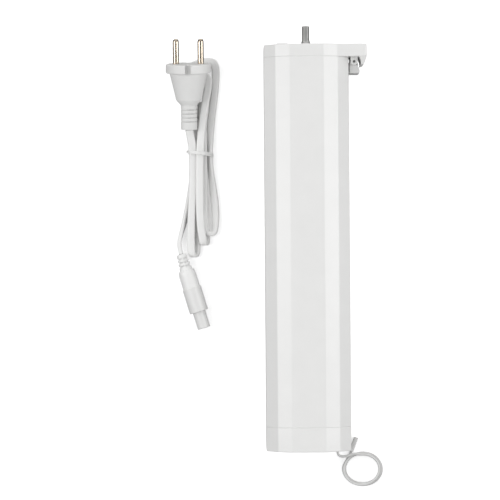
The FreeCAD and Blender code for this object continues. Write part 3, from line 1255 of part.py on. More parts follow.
def plug_placed(feature):
    """Puts a piece drawn around the plug's own axis where the plug lies, tilted."""
    feature.Placement = Placement(Vector(), Rotation(Vector(1, 0, 0), number(S.plug_tilt)))
    place(feature, S.plug_x, S.plug_y, S.plug_height)
    return feature


OVAL_SIDES = 24


def oval(width, height, y):
    """Corners of an oval across the plug's axis."""
    return ring_of_corners(OVAL_SIDES, number(width) / 2, number(height) / 2, number(y))


def oval_band(name, width, height, low, high):
    return flat_sided(name, [oval(width, height, low), oval(width, height, high)])


def make_plug():
    """Moulded two-pin plug: round flange with earth notches, tapered oval grip, grooved relief."""
    radius, trim = S.flange_diameter + " / 2", S.edge_round
    back = minus(S.flange_thickness)
    flange = many_sided("plug_flange", 40, [
        ("%s - %s" % (radius, trim), "0"), (radius, minus(trim)), (radius, "%s + %s" % (back, trim)),
        ("%s - %s" % (radius, trim), back)])
    grip = flat_sided("plug_grip", [
        oval(S.plug_body_width, S.plug_body_height, back),
        oval(S.plug_end_width, S.plug_end_height, minus(PLUG_TAPER)),
        oval(S.relief_width, S.relief_height, minus(RELIEF_START))])
    tools = [box("earth_notch_%s" % side, (minus(S.notch_width + " / 2"), S.notch_width + " / 2"),
                 (back, "0"), span)
             for side, span in (("front", ("%s - %s" % (radius, S.notch_depth), radius)),
                                ("back", (minus(radius), minus("%s - %s" % (radius, S.notch_depth)))))]
    tools += [prism("pin_seat_%d" % index, 12, S.pin_root_diameter + " / 2", minus(S.pin_root), "0", x, "0")
              for index, x in enumerate(pin_places())]
    node("plug_body", plug_placed(cut("plug_body", fuse("plug_solid", flange, grip), *tools)))
    pins = []
    for index, x in enumerate(pin_places()):
        pin = S.pin_diameter + " / 2"
        shank = turned("pin_shank_%d" % index, [
            ("0", "0"), (pin, "0"), (pin, "%s - 0.8 * %s" % (S.pin_length, pin)),
            ("0.5 * " + pin, S.pin_length), ("0", S.pin_length)])
        place(shank, x, "0", "0")
        root = prism("pin_root_%d" % index, 12, S.pin_root_diameter + " / 2", minus(S.pin_root), "0", x, "0")
        pins.append(fuse("plug_pin_%d" % index, shank, root))
    node("plug_pins", plug_placed(group("plug_pins", *pins)))
    make_plug_relief()


def pin_places():
    return minus(S.pin_spacing + " / 2"), S.pin_spacing + " / 2"


def make_plug_relief():
    core_width = "(%s - 2 * %s)" % (S.relief_width, S.relief_groove_depth)
    core_height = "(%s - 2 * %s)" % (S.relief_height, S.relief_groove_depth)
    parts = [oval_band("relief_core", core_width, core_height, minus(RELIEF_END), minus(RELIEF_START))]
    high = minus(RELIEF_START)
    groove = "%s + %s" % (RELIEF_START, S.relief_first_groove)
    for index in range(int(number(S.relief_grooves))):
        parts.append(oval_band("relief_band_%d" % index, S.relief_width, S.relief_height,
                               minus(groove), high))
        high = "%s - %s" % (minus(groove), S.relief_groove)
        groove = "%s + %s" % (groove, S.relief_groove_pitch)
    parts.append(oval_band("relief_collar", S.relief_width, S.relief_height, minus(RELIEF_END), high))
    node("plug_relief", plug_placed(fuse("plug_relief", *parts)))


def make_tie():
    """Wire tie around the hank's waist, with its twisted end at the left."""
    half = "%s / 2 + %s" % (S.cord_thickness, S.tie_fit)
    low_x, high_x = min(x for x, z, way in WAIST), max(x for x, z, way in WAIST)
    low_z, high_z = min(z for x, z, way in WAIST), max(z for x, z, way in WAIST)
    inner = [("%s - (%s)" % (low, half), "%s + %s" % (high, half))
             for low, high in ((low_x, high_x), (low_z, high_z))]
    outer = [("%s - %s" % (low, S.tie_wire), "%s + %s" % (high, S.tie_wire)) for low, high in inner]
    span = ("%s - %s / 2" % (S.tie_y, S.tie_width), "%s + %s / 2" % (S.tie_y, S.tie_width))
    band = cut("tie_band", box("tie_outer", outer[0], span, outer[1]),
               box("tie_inner", inner[0], span, inner[1]))
    knot = box("tie_knot", ("%s - %s" % (outer[0][0], S.tie_knot), outer[0][0]),
               ("%s - %s / 2" % (S.tie_y, S.tie_knot), "%s + %s / 2" % (S.tie_y, S.tie_knot)),
               ("%s - %s" % (outer[1][1], S.tie_knot), outer[1][1]))
    node("cord_tie", fuse("cord_tie", band, knot))


def connector_placed(feature):
    feature.Placement = Placement(Vector(), Rotation(Vector(0, 0, 1), number(S.connector_turn)))
    place(feature, S.connector_x, S.connector_y, S.connector_height)
    return feature


def make_connector():
    """Round connector: slotted strain relief, grip, plain sleeve and a nose with two contacts."""
    trim = S.edge_round
    relief_end = S.connector_relief_length
    body_end = "%s + %s" % (relief_end, S.connector_body_length)
    sleeve_end = "%s + %s" % (body_end, S.connector_sleeve_length)
    nose_end = "%s + %s" % (sleeve_end, S.connector_nose_length)
    cone = many_sided("connector_cone", 24, [
        (S.connector_relief_start + " / 2", "0"), (S.connector_relief_end + " / 2", minus(relief_end))])
    node("connector_relief", connector_placed(cut("connector_relief", cone, *relief_slots())))
    grip = S.connector_body_diameter + " / 2"
    shoulder = "%s + %s" % (relief_end, S.connector_taper)
    node("connector_body", connector_placed(many_sided("connector_body", 32, [
        (S.connector_body_start + " / 2", minus(relief_end)), (grip, minus(shoulder)),
        (grip, minus(body_end))])))
    sleeve = S.connector_sleeve_diameter + " / 2"
    node("connector_sleeve", connector_placed(many_sided("connector_sleeve", 32, [
        ("%s - %s" % (sleeve, trim), minus(body_end)), (sleeve, minus("%s + %s" % (body_end, trim))),
        (sleeve, "%s + %s" % (minus(sleeve_end), trim)), ("%s - %s" % (sleeve, trim), minus(sleeve_end))])))
    nose = S.connector_nose_diameter + " / 2"
    barrel = turned("nose_barrel", [
        ("0", minus(sleeve_end)), (nose, minus(sleeve_end)), (nose, "%s + %s" % (minus(nose_end), trim)),
        ("%s - %s" % (nose, trim), minus(nose_end)), ("0", minus(nose_end))])
    sockets = [prism("contact_%s" % side, 12, S.contact_bore + " / 2", minus(nose_end),
                     "%s + %s" % (minus(nose_end), S.contact_depth),
                     "%s%s / 2" % (sign, S.inlet_pin_pitch), "0")
               for side, sign in (("left", "-"), ("right", ""))]
    node("connector_nose", connector_placed(cut("connector_nose", barrel, *sockets)))


def relief_slots():
    """Rows of slots round the connector's relief, with a web left at the front and the back."""
    slots = []
    for index in range(int(number(S.connector_grooves))):
        top = minus("%s + %d * %s" % (S.connector_groove_start, index, S.connector_groove_pitch))
        low = "%s - %s" % (top, S.connector_groove)
        reach = "%s / 2" % S.connector_body_diameter
        core = "(%s / 2 - %s)" % (S.connector_relief_start, S.connector_groove_depth)
        ring = cut("slot_ring_%d" % index, prism("slot_outside_%d" % index, 24, reach, low, top, "0", "0"),
                   prism("slot_inside_%d" % index, 24, core, low, top, "0", "0"))
        web = box("slot_web_%d" % index, (minus(S.connector_web + " / 2"), S.connector_web + " / 2"),
                  (low, top), (minus(reach), reach))
        slots.append(cut("relief_slot_%d" % index, ring, web))
    return slots


make_housing()
make_drive_shaft()
make_gear_case()
make_planets(2, STAGE_2_LOW)
make_planets(1, STAGE_1_LOW)
make_carriers()
make_motor()
make_boards()
make_bottom_fittings()
make_plug()
make_hank()
make_tie()
make_connector()
make_aerial()
doc.recompute()

for item in doc.Objects:
    if "Invalid" in item.State or "Error" in item.State:
        raise RuntimeError("object failed: " + item.Name)
for name, feature in nodes.items():
    if feature.Shape.isNull() or not feature.Shape.isValid():
        raise RuntimeError("sub-part has no valid shape: " + name)

os.makedirs("parts", exist_ok=True)
for name, feature in nodes.items():
    feature.Shape.exportStep("parts/%s.step" % name)
print(len(nodes), "sub-parts")
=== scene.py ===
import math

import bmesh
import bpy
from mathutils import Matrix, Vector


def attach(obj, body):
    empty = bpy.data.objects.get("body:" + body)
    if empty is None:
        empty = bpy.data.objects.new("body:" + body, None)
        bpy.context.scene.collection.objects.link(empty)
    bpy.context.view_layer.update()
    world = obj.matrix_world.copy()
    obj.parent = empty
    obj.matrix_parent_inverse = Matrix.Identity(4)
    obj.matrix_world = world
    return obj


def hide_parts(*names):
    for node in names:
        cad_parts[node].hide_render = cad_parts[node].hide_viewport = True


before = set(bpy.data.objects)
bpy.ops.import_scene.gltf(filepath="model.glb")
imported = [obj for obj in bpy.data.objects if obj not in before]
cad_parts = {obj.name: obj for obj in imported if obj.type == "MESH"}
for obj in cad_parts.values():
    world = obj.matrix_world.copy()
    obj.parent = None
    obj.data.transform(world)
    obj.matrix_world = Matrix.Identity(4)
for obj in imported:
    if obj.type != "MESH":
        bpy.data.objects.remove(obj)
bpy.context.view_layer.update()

# The looks of a curtain motor with its mains lead. Each piece that can be seen is made anew and
# dressed here, and the pieces inside the housing are dressed as they are. Sizes are in
# millimetres, which MM turns to Blender's metres: x goes to the photograph's right, y up it to
# the housing's head end, and z from the table up to the camera.

MM = 0.001


def mm(*values):
    return Vector(values) * MM


def srgb(hex_code):
    """A colour as painters write it, turned to the linear values that light works with."""
    channels = [int(hex_code[k:k + 2], 16) / 255 for k in (1, 3, 5)]
    return [c / 12.92 if c <= 0.04045 else ((c + 0.055) / 1.055) ** 2.4 for c in channels] + [1.0]


# ---------------------------------------------------------------- materials

def add(owner, kind, links=None, **settings):
    """Adds one node. Links give a socket a value, or another node's output to follow."""
    tree = owner.node_tree
    made = tree.nodes.new(kind)
    for name, value in settings.items():
        setattr(made, name, value)
    for name, value in (links or {}).items():
        if isinstance(value, bpy.types.NodeSocket):
            tree.links.new(value, made.inputs[name])
        else:
            made.inputs[name].default_value = value
    return made


def blank(name):
    """A new material, and the place on the object that its patterns read."""
    material = bpy.data.materials.new(name)
    material.use_nodes = True
    material.node_tree.nodes.clear()
    return material, add(material, "ShaderNodeTexCoord").outputs["Object"]


def finish(material, tint, light, dark, grain, gloss, depth, **constants):
    """Closes a material. Its colour goes from light to dark with the tint pattern.

    The grain pattern drives its roughness, from the first to the second of gloss, and its
    relief, which is depth millimetres high. Constants are values for the shader's own sockets.
    """
    colour = add(material, "ShaderNodeMix", {"Factor": tint, "A": srgb(light), "B": srgb(dark)},
                 data_type="RGBA")
    roughness = add(material, "ShaderNodeMapRange",
                    {"Value": grain, "To Min": gloss[0], "To Max": gloss[1]})
    relief = add(material, "ShaderNodeBump",
                 {"Height": grain, "Distance": depth * MM, "Strength": 1.0})
    links = {"Base Color": colour.outputs["Result"], "Roughness": roughness.outputs["Result"],
             "Normal": relief.outputs["Normal"]}
    links.update({name.replace("_", " "): value for name, value in constants.items()})
    shader = add(material, "ShaderNodeBsdfPrincipled", links)
    add(material, "ShaderNodeOutputMaterial", {"Surface": shader.outputs["BSDF"]})
    return material


def grained(name, light, dark, gloss, cloud=14.0, grain=0.5, depth=0.012,
            stretch=(1.0, 1.0, 1.0), detail=3.0, harshness=0.5, **constants):
    """A surface whose colour drifts in soft clouds, and whose gloss and relief have a grain.

    Cloud and grain are the widths of their spots in millimetres. A stretch below 1 draws the
    grain out in x, y or z, and detail and harshness say how broken it is. The grain that a
    mould, a die or a tool leaves is too fine to show, so it is drawn 0.2 to 0.9 mm wide, coarse
    enough to break up the gloss.
    """
    material, place = blank(name)
    clouds = add(material, "ShaderNodeTexNoise", {"Vector": place, "Scale": 1 / (cloud * MM)})
    drawn_out = add(material, "ShaderNodeMapping", {"Vector": place, "Scale": stretch})
    grains = add(material, "ShaderNodeTexNoise",
                 {"Vector": drawn_out.outputs["Vector"], "Scale": 1 / (grain * MM),
                  "Detail": detail, "Roughness": harshness})
    return finish(material, clouds.outputs["Fac"], light, dark, grains.outputs["Fac"], gloss,
                  depth, **constants)


def metal(name, light, dark, gloss, stretch=(1.0, 1.0, 1.0), grain=0.4, depth=0.003):
    """A worked metal: its grain is the fine marks of the die or the tool."""
    return grained(name, light, dark, gloss, cloud=5.0, grain=grain, depth=depth,
                   stretch=stretch, detail=4.0, harshness=0.6, Metallic=1.0)


# Impact-modified ABS, moulded in a finely eroded mould: an even, slightly cool white with a
# satin sheen that softens every edge
WHITE_SHELL = grained("ABS_moulded_satin_white", "#EAEAE9", "#E5E5E4", (0.3, 0.4), IOR=1.54)
# Acetal of the lever, moulded: a touch darker and waxier than the shell
LEVER_ACETAL = grained("acetal_moulded_white", "#DEDEDD", "#D8D8D7", (0.3, 0.4), IOR=1.48)
# Plasticised PVC, moulded around the plug's core: soft matt white that goes a little grey
PLUG_PVC = grained("PVC_moulded_matt_white", "#E4E4E3", "#DDDDDC", (0.45, 0.58), grain=0.4,
                   IOR=1.53)
# Plasticised PVC, extruded as flat twin cord: bright white with a soft gloss
CORD_PVC = grained("PVC_extruded_cord_white", "#F1F1F0", "#EBEBEA", (0.36, 0.46), grain=0.9,
                   cloud=9.0, IOR=1.53)
# Cast rubber of the pad and the grommet: pale, dry and nearly matt
PAD_RUBBER = grained("rubber_cast_pale", "#CFCFCE", "#C6C6C5", (0.6, 0.75), grain=0.3,
                     cloud=6.0, IOR=1.52)
# Polycarbonate of the connector's sleeve and nose, moulded: glossier than the PVC beside it
CONNECTOR_PC = grained("polycarbonate_moulded_white", "#E8E8E7", "#E3E3E2", (0.28, 0.38),
                       IOR=1.58)
# PVC over thin steel wire, as ties have it: an even, soft white
TIE_PVC = grained("PVC_coated_tie_white", "#ECECEB", "#E4E4E3", (0.4, 0.5), grain=0.4,
                  cloud=4.0, IOR=1.53)
# PVC drawn over the aerial's strands: light grey, smooth, with a soft gloss
AERIAL_PVC = grained("PVC_extruded_aerial_grey", "#DCDCDB", "#D2D2D1", (0.35, 0.45), cloud=5.0,
                     IOR=1.53)
# ABS of the small round button, moulded: the shell's white, a shade greyer
BUTTON_ABS = grained("ABS_moulded_button", "#E6E6E5", "#DFDFDE", (0.3, 0.4), cloud=5.0, IOR=1.54)
# Cold-drawn steel bar, zinc plated and rubbed by its socket: grey, with marks along its length
SHAFT_STEEL = metal("steel_drawn_zinc_plated", "#CBCBC9", "#B4B4B2", (0.42, 0.52),
                    (1.0, 0.08, 1.0))
# Turned brass, nickel plated and polished: warm grey, close to a mirror, with hardly a tool mark
PIN_NICKEL = metal("nickel_plated_brass", "#BFB4A6", "#B0A494", (0.15, 0.2), (0.15, 1.0, 0.15),
                   grain=0.25, depth=0.0001)
# Screw steel, cold headed and zinc plated: cool grey with a soft sheen
SCREW_STEEL = metal("steel_headed_zinc_plated", "#B4B6B8", "#9C9EA0", (0.3, 0.45), grain=0.5)

# ---------------------------------------------------------------- materials of the inner parts

# Acetal of gears and carriers, moulded and dry: milky white, waxy, with hardly any grain
GEAR_ACETAL = grained("acetal_moulded_gear", "#E4E1D6", "#DAD6C9", (0.28, 0.38), grain=0.25,
                      depth=0.004, cloud=6.0, IOR=1.48)
# Glass-filled nylon of the gearbox case, moulded: dark grey, rough where the fibres show
CASE_NYLON = grained("nylon_glass_filled_case", "#4A4C4E", "#3C3E40", (0.5, 0.68), grain=0.35,
                     depth=0.015, cloud=8.0, IOR=1.53)
# Moulded plastic of small electrical fittings: nearly black with a dull sheen
FITTING_BLACK = grained("plastic_moulded_fitting_black", "#26272A", "#1C1D1F", (0.4, 0.52),
                        grain=0.3, cloud=6.0, IOR=1.55)
# Nitrile rubber of the damper rings, moulded: black with a dry bloom in patches
DAMPER_NITRILE = grained("rubber_nitrile_black", "#2B2B2C", "#373736", (0.7, 0.85), grain=0.4,
                         depth=0.02, cloud=5.0, IOR=1.52)
# Sintered ferrite: charcoal grey, with the pits of pressed powder
MAGNET_FERRITE = grained("ferrite_sintered", "#3B3A3C", "#2C2B2D", (0.45, 0.7), grain=0.2,
                         depth=0.02, cloud=3.0, IOR=2.2)
# Deep-drawn steel, nickel plated: bright grey with drawing marks along the motor
MOTOR_STEEL = metal("steel_deep_drawn_nickelled", "#B5B5B3", "#A2A2A0", (0.22, 0.36),
                    (1.0, 0.06, 1.0))
# Music-wire spring, drawn and oiled: dark grey
SPRING_WIRE = metal("steel_spring_wire_oiled", "#7F8082", "#6B6C6E", (0.25, 0.4), grain=0.3)
# Turned brass: yellow, with rings from the tool
BUSH_BRASS = metal("brass_turned", "#C9A45C", "#B58F49", (0.22, 0.36), (0.2, 1.0, 0.2),
                   grain=0.3)
# Tin-plated can over the radio, rolled one way: cool light grey
SHIELD_TIN = metal("tinplate_rolled_can", "#C3C5C7", "#B2B4B6", (0.3, 0.42), (0.1, 1.0, 1.0))
# Drawn glass tube of the fuse: clear, with a little haze where it was handled
FUSE_GLASS = grained("glass_tube_clear", "#EAF0EE", "#DDE6E3", (0.03, 0.12), cloud=1.5,
                     grain=1.5, depth=0.0, detail=2.0, Transmission_Weight=0.85, IOR=1.52)


def wound_copper():
    """Enamelled copper wire, laid turn by turn: amber, each turn painted lighter along its crown,
    with painted shade in the groove between turns.

    The real wire is 0.35 mm thick, too fine to show, so its turns are drawn 1.38 mm apart along
    each axis. With its bands set diagonally, this texture has one in every tau / 10 of its unit.
    """
    material, place = blank("copper_wire_enamelled")
    turns = add(material, "ShaderNodeTexWave",
                {"Vector": place, "Scale": math.tau / 10 / (1.38 * MM), "Distortion": 0.6,
                 "Detail": 1.0}, bands_direction="DIAGONAL").outputs["Fac"]
    # the bands paint each turn's light crown and its shaded groove into the colour, and also set
    # the roughness
    return finish(material, turns, "#8A4A1E", "#C77A3A", turns, (0.34, 0.22), 0.08, Metallic=1.0)


def board_laminate():
    """Glass-cloth laminate under green lacquer: the cloth's 0.5 mm squares show faintly."""
    material, place = blank("glass_epoxy_board_lacquered")
    cloth = add(material, "ShaderNodeTexChecker", {"Vector": place, "Scale": 1 / (0.5 * MM)})
    lacquer = add(material, "ShaderNodeTexNoise", {"Vector": place, "Scale": 1 / (2.5 * MM)})
    return finish(material, cloth.outputs["Fac"], "#1A5034", "#1F5B3A", lacquer.outputs["Fac"],
                  (0.22, 0.34), 0.01, IOR=1.55)


INNER_FINISHES = (
    (GEAR_ACETAL, ("output_carrier", "first_carrier", "stage_1_planet_a", "stage_1_planet_b",
                   "stage_1_planet_c", "stage_2_planet_a", "stage_2_planet_b",
                   "stage_2_planet_c")),
    (CASE_NYLON, ("gear_case", "gear_case_cover")),
    (FITTING_BLACK, ("motor_end_bell", "motor_brushes", "transformer", "capacitors",
                     "set_switch", "power_inlet")),
    (DAMPER_NITRILE, ("front_damper", "rear_damper")),
    (MAGNET_FERRITE, ("motor_magnets", "speed_disc")),
    (MOTOR_STEEL, ("motor_can", "rotor_core", "rotor_shaft", "lever_pin")),
    (SPRING_WIRE, ("lever_spring",)),
    (BUSH_BRASS, ("output_bush", "motor_pinion", "commutator")),
    (SHIELD_TIN, ("radio_module",)),
    (PIN_NICKEL, ("inlet_pins",)),
    (wound_copper(), ("rotor_windings",)),
    (board_laminate(), ("sensor_board", "control_board", "power_board")),
    (FUSE_GLASS, ("fuse",)))
for inner_finish, inner_nodes in INNER_FINISHES:
    for inner_node in inner_nodes:
        for material_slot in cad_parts[inner_node].material_slots:
            material_slot.material = inner_finish

# ---------------------------------------------------------------- camera, floor and lights

# The photograph was taken from far above, with its camera turned a little: at the housing's mid
# height, 500 pixels cover 383 mm
eye = bpy.data.cameras.new("eye")
eye.lens, eye.sensor_width = 166.85, 36.0
camera = bpy.data.objects.new("eye", eye)
camera.location = (-0.0438, -0.0013, 1.8)
camera.rotation_euler = (0.0, 0.0, math.radians(-0.43))
bpy.context.scene.collection.objects.link(camera)
bpy.context.scene.camera = camera
bpy.context.scene.view_settings.view_transform = "Standard"


def softbox(name, place, power):
    """A tall lamp, 0.6 m by 1.8 m, at a place in metres, which shines at the table's middle."""
    lamp = bpy.data.lights.new(name, "AREA")
    lamp.shape, lamp.size, lamp.size_y, lamp.energy = "RECTANGLE", 0.6, 1.8, power
    box_of_light = bpy.data.objects.new(name, lamp)
    box_of_light.location = place
    box_of_light.rotation_euler = (-Vector(place)).to_track_quat("-Z", "Y").to_euler()
    bpy.context.scene.collection.objects.link(box_of_light)


softbox("left_softbox", (-1.3, 0.1, 1.2), 15.0)
softbox("right_softbox", (1.45, 0.1, 1.0), 15.6)

# The studio round the object: dark straight overhead, where the camera hangs, a bright ring of
# ceiling about it, dark low walls, which give every edge its grey line, and a white wall
# behind each end, which lights the plug's face and the caps' ends
world = bpy.data.worlds.new("studio")
bpy.context.scene.world = world
world.use_nodes = True
background = world.node_tree.nodes["Background"]
eye_line = add(world, "ShaderNodeTexCoord").outputs["Generated"]
way = add(world, "ShaderNodeSeparateXYZ", {"Vector": eye_line})


def strip_of_light(way_out, stops):
    """The studio's brightness as one part of the eye's way goes from 0 to 1: places and greys."""
    ramp = add(world, "ShaderNodeValToRGB", {"Fac": way_out})
    while len(ramp.color_ramp.elements) < len(stops):
        ramp.color_ramp.elements.new(0.5)
    for stop, (position, grey) in zip(ramp.color_ramp.elements, stops):
        stop.position, stop.color = position, (grey, grey, grey, 1)
    return ramp.outputs["Color"]


ceiling = strip_of_light(way.outputs["Z"],
                         ((0.0, 0.15), (0.25, 0.4), (0.45, 1.0), (0.78, 1.0), (0.86, 0.12)))
foot_to_head = add(world, "ShaderNodeMapRange",
                   {"Value": way.outputs["Y"], "From Min": -1.0, "From Max": 1.0})
end_walls = strip_of_light(foot_to_head.outputs["Result"],
                           ((0.0, 0.9), (0.1, 0.9), (0.2, 0.0), (0.8, 0.0), (0.9, 2.0)))
both = add(world, "ShaderNodeMix", {"Factor": 1.0, "A": ceiling, "B": end_walls},
           data_type="RGBA", blend_type="ADD")
world.node_tree.links.new(both.outputs["Result"], background.inputs["Color"])
background.inputs["Strength"].default_value = 0.54

bpy.ops.object.select_all(action="DESELECT")
bpy.ops.mesh.primitive_plane_add(size=6.0, location=(0, 0, -0.0002))
floor = bpy.context.object
floor.name = "floor"
# Matt white paper, 0.2 mm below what lies on it. It glows a little, so that it comes out as the
# photograph's pure white.
floor.data.materials.append(grained(
    "paper_white_matt", "#FDFDFD", "#FBFBFB", (0.8, 0.9), cloud=300.0, grain=300.0, depth=0.0,
    detail=2.0, Emission_Color=(1, 1, 1, 1), Emission_Strength=0.45))
# It is white to the eye, but like a dark table it throws no light up at the object
floor.visible_diffuse = floor.visible_glossy = False

# ---------------------------------------------------------------- modelling

def clear():
    """Nothing selected, in object mode."""
    if bpy.context.mode != "OBJECT":
        bpy.ops.object.mode_set(mode="OBJECT")
    bpy.ops.object.select_all(action="DESELECT")


def take(piece):
    """This piece selected by itself, in object mode."""
    clear()
    piece.select_set(True)
    bpy.context.view_layer.objects.active = piece


def open_piece(piece):
    """Puts a piece in edit mode, by itself."""
    take(piece)
    bpy.ops.object.mode_set(mode="EDIT")


def start(name, add_primitive, **sizes):
    """Adds a primitive at its size and place, in metres, and opens it, selected all over."""
    clear()
    add_primitive(**sizes)
    piece = bpy.context.object
    piece.name = piece.data.name = name
    bpy.ops.object.transform_apply(location=True, rotation=True, scale=True)
    bpy.ops.object.mode_set(mode="EDIT")
    bpy.ops.mesh.select_all(action="SELECT")
    return piece


def pick(kind, wanted):
    """Selects the faces or edges that are wanted, by middle in millimetres and by lie.

    A face's lie is its normal, and an edge's is its direction.
    """
    bpy.ops.mesh.select_mode(type=kind)
    bpy.ops.mesh.select_all(action="DESELECT")
    shape = bmesh.from_edit_mesh(bpy.context.edit_object.data)
    for part in (shape.faces if kind == "FACE" else shape.edges):
        middle = sum((v.co for v in part.verts), Vector()) / len(part.verts) / MM
        lie = part.normal if kind == "FACE" else (part.verts[1].co - part.verts[0].co).normalized()
        if wanted(middle, lie):
            part.select_set(True)
    bmesh.update_edit_mesh(bpy.context.edit_object.data)


def round_edges(size, steps=2):
    bpy.ops.mesh.bevel(offset=size * MM, segments=steps, affect="EDGES")


def close_piece(piece, material, angle=30, place=(0, 0, 0), turn=(0, 0, 0)):
    """Faces outwards, placed in millimetres and degrees, shaded and dressed.

    An edge stays sharp where its faces meet at more than angle degrees.
    """
    if bpy.context.mode != "EDIT_MESH":
        open_piece(piece)
    bpy.ops.mesh.select_all(action="SELECT")
    bpy.ops.mesh.remove_doubles(threshold=1e-6)
    bpy.ops.mesh.normals_make_consistent(inside=False)
    take(piece)
    piece.location, piece.rotation_euler = mm(*place), [math.radians(a) for a in turn]
    bpy.ops.object.transform_apply(location=True, rotation=True, scale=True)
    bpy.ops.object.shade_smooth_by_angle(angle=math.radians(angle))
    even = piece.modifiers.new("even", "WEIGHTED_NORMAL")
    even.keep_sharp = True
    bpy.ops.object.modifier_apply(modifier="even")
    piece.data.materials.clear()
    piece.data.materials.append(material)
    return piece


def join(pieces):
    """The pieces made one, under the first one's name."""
    take(pieces[0])
    for piece in pieces:
        piece.select_set(True)
    bpy.ops.object.join()
    return pieces[0]


def stack(name, sides, rings, middle=(0, 0)):
    """A round or oval form along Y: a disc, extruded and sized ring by ring.

    Each ring is its place along Y, its half width and its half height, in millimetres.
    """
    x, z = middle
    first = rings[0]
    piece = start(name, bpy.ops.mesh.primitive_circle_add, vertices=sides, radius=1 * MM,
                  fill_type="NGON", location=mm(x, first[0], z),
                  rotation=(math.pi / 2, 0, math.pi / sides))
    last = (first[0], 1.0, 1.0)
    for ring in rings:
        if ring is not first:
            bpy.ops.mesh.extrude_region_move(
                TRANSFORM_OT_translate={"value": mm(0, ring[0] - last[0], 0)})
        bpy.ops.transform.resize(value=(ring[1] / last[1], 1, ring[2] / last[2]),
                                 center_override=mm(x, ring[0], z))
        last = ring
    return piece


def box(name, low, high):
    """A box between two corners in millimetres."""
    middle = [(a + b) / 2 for a, b in zip(low, high)]
    piece = start(name, bpy.ops.mesh.primitive_cube_add, size=1 * MM, location=mm(*middle))
    bpy.ops.transform.resize(value=[b - a for a, b in zip(low, high)],
                             center_override=mm(*middle))
    return piece


def flip_over(side):
    """Mirrors what is open from the top side to the foot side where side is -1."""
    bpy.ops.mesh.select_all(action="SELECT")
    bpy.ops.transform.resize(value=(1, 1, side), center_override=(0, 0, 0))


def carve(piece, cutters):
    """Takes the cutters' shapes out of the piece."""
    take(piece)
    for cutter in cutters:
        tool = piece.modifiers.new("carve", "BOOLEAN")
        tool.object, tool.operation, tool.solver = cutter, "DIFFERENCE", "EXACT"
        bpy.ops.object.modifier_apply(modifier="carve")
        bpy.data.objects.remove(cutter)


def merged_copy(node, name):
    """A copy of a CAD node's mesh, its triangles merged back into flat faces, open for shaping."""
    piece = bpy.data.objects.new(name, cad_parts[node].data.copy())
    piece.data.name = name
    bpy.context.scene.collection.objects.link(piece)
    open_piece(piece)
    bpy.ops.mesh.select_all(action="SELECT")
    bpy.ops.mesh.remove_doubles(threshold=1e-6)
    bpy.ops.mesh.dissolve_limited(angle_limit=math.radians(0.5))
    return piece


def place_for(piece, body, slot, *nodes):
    """The piece rides on its body, and stands for the CAD nodes."""
    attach(piece, body)
    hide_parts(*nodes)


# ---------------------------------------------------------------- cords

def smooth_line(name, points):
    """A NURBS curve with these control points in millimetres."""
    curve = bpy.data.curves.new(name, "CURVE")
    curve.dimensions, curve.resolution_u = "3D", 10
    spline = curve.splines.new("NURBS")
    spline.points.add(len(points) - 1)
    for control, point in zip(spline.points, points):
        control.co = (*mm(*point), 1.0)
    spline.order_u = 3
    spline.use_endpoint_u = True
    line = bpy.data.objects.new(name, curve)
    bpy.context.scene.collection.objects.link(line)
    return line


def points_along(line):
    """The smooth line's own points, as Blender works them out. The line is then taken away."""
    bpy.context.view_layer.update()
    mesh = bpy.data.meshes.new_from_object(line)
    points = [v.co.copy() for v in mesh.vertices]
    bpy.data.objects.remove(line)
    bpy.data.meshes.remove(mesh)
    return points


def round_wire(line, radius, steps):
    """Gives a smooth line the round section of a wire, closed at both ends."""
    line.data.bevel_depth, line.data.bevel_resolution = radius * MM, steps
    line.data.use_fill_caps = True


def ring_faces(rings, count, closed=False):
    """The faces between rings of count corners, whose corners are numbered ring after ring."""
    faces = []
    for ring in range(rings if closed else rings - 1):
        here, ahead = ring * count, (ring + 1) % rings * count
        for corner in range(count):
            beside = (corner + 1) % count
            faces.append((here + corner, here + beside, ahead + beside, ahead + corner))
    return faces


def mesh_piece(name, corners, faces, material):
    mesh = bpy.data.meshes.new(name)
    mesh.from_pydata(corners, [], faces)
    mesh.materials.append(material)
    for polygon in mesh.polygons:
        polygon.use_smooth = True
    piece = bpy.data.objects.new(name, mesh)
    bpy.context.scene.collection.objects.link(piece)
    return piece


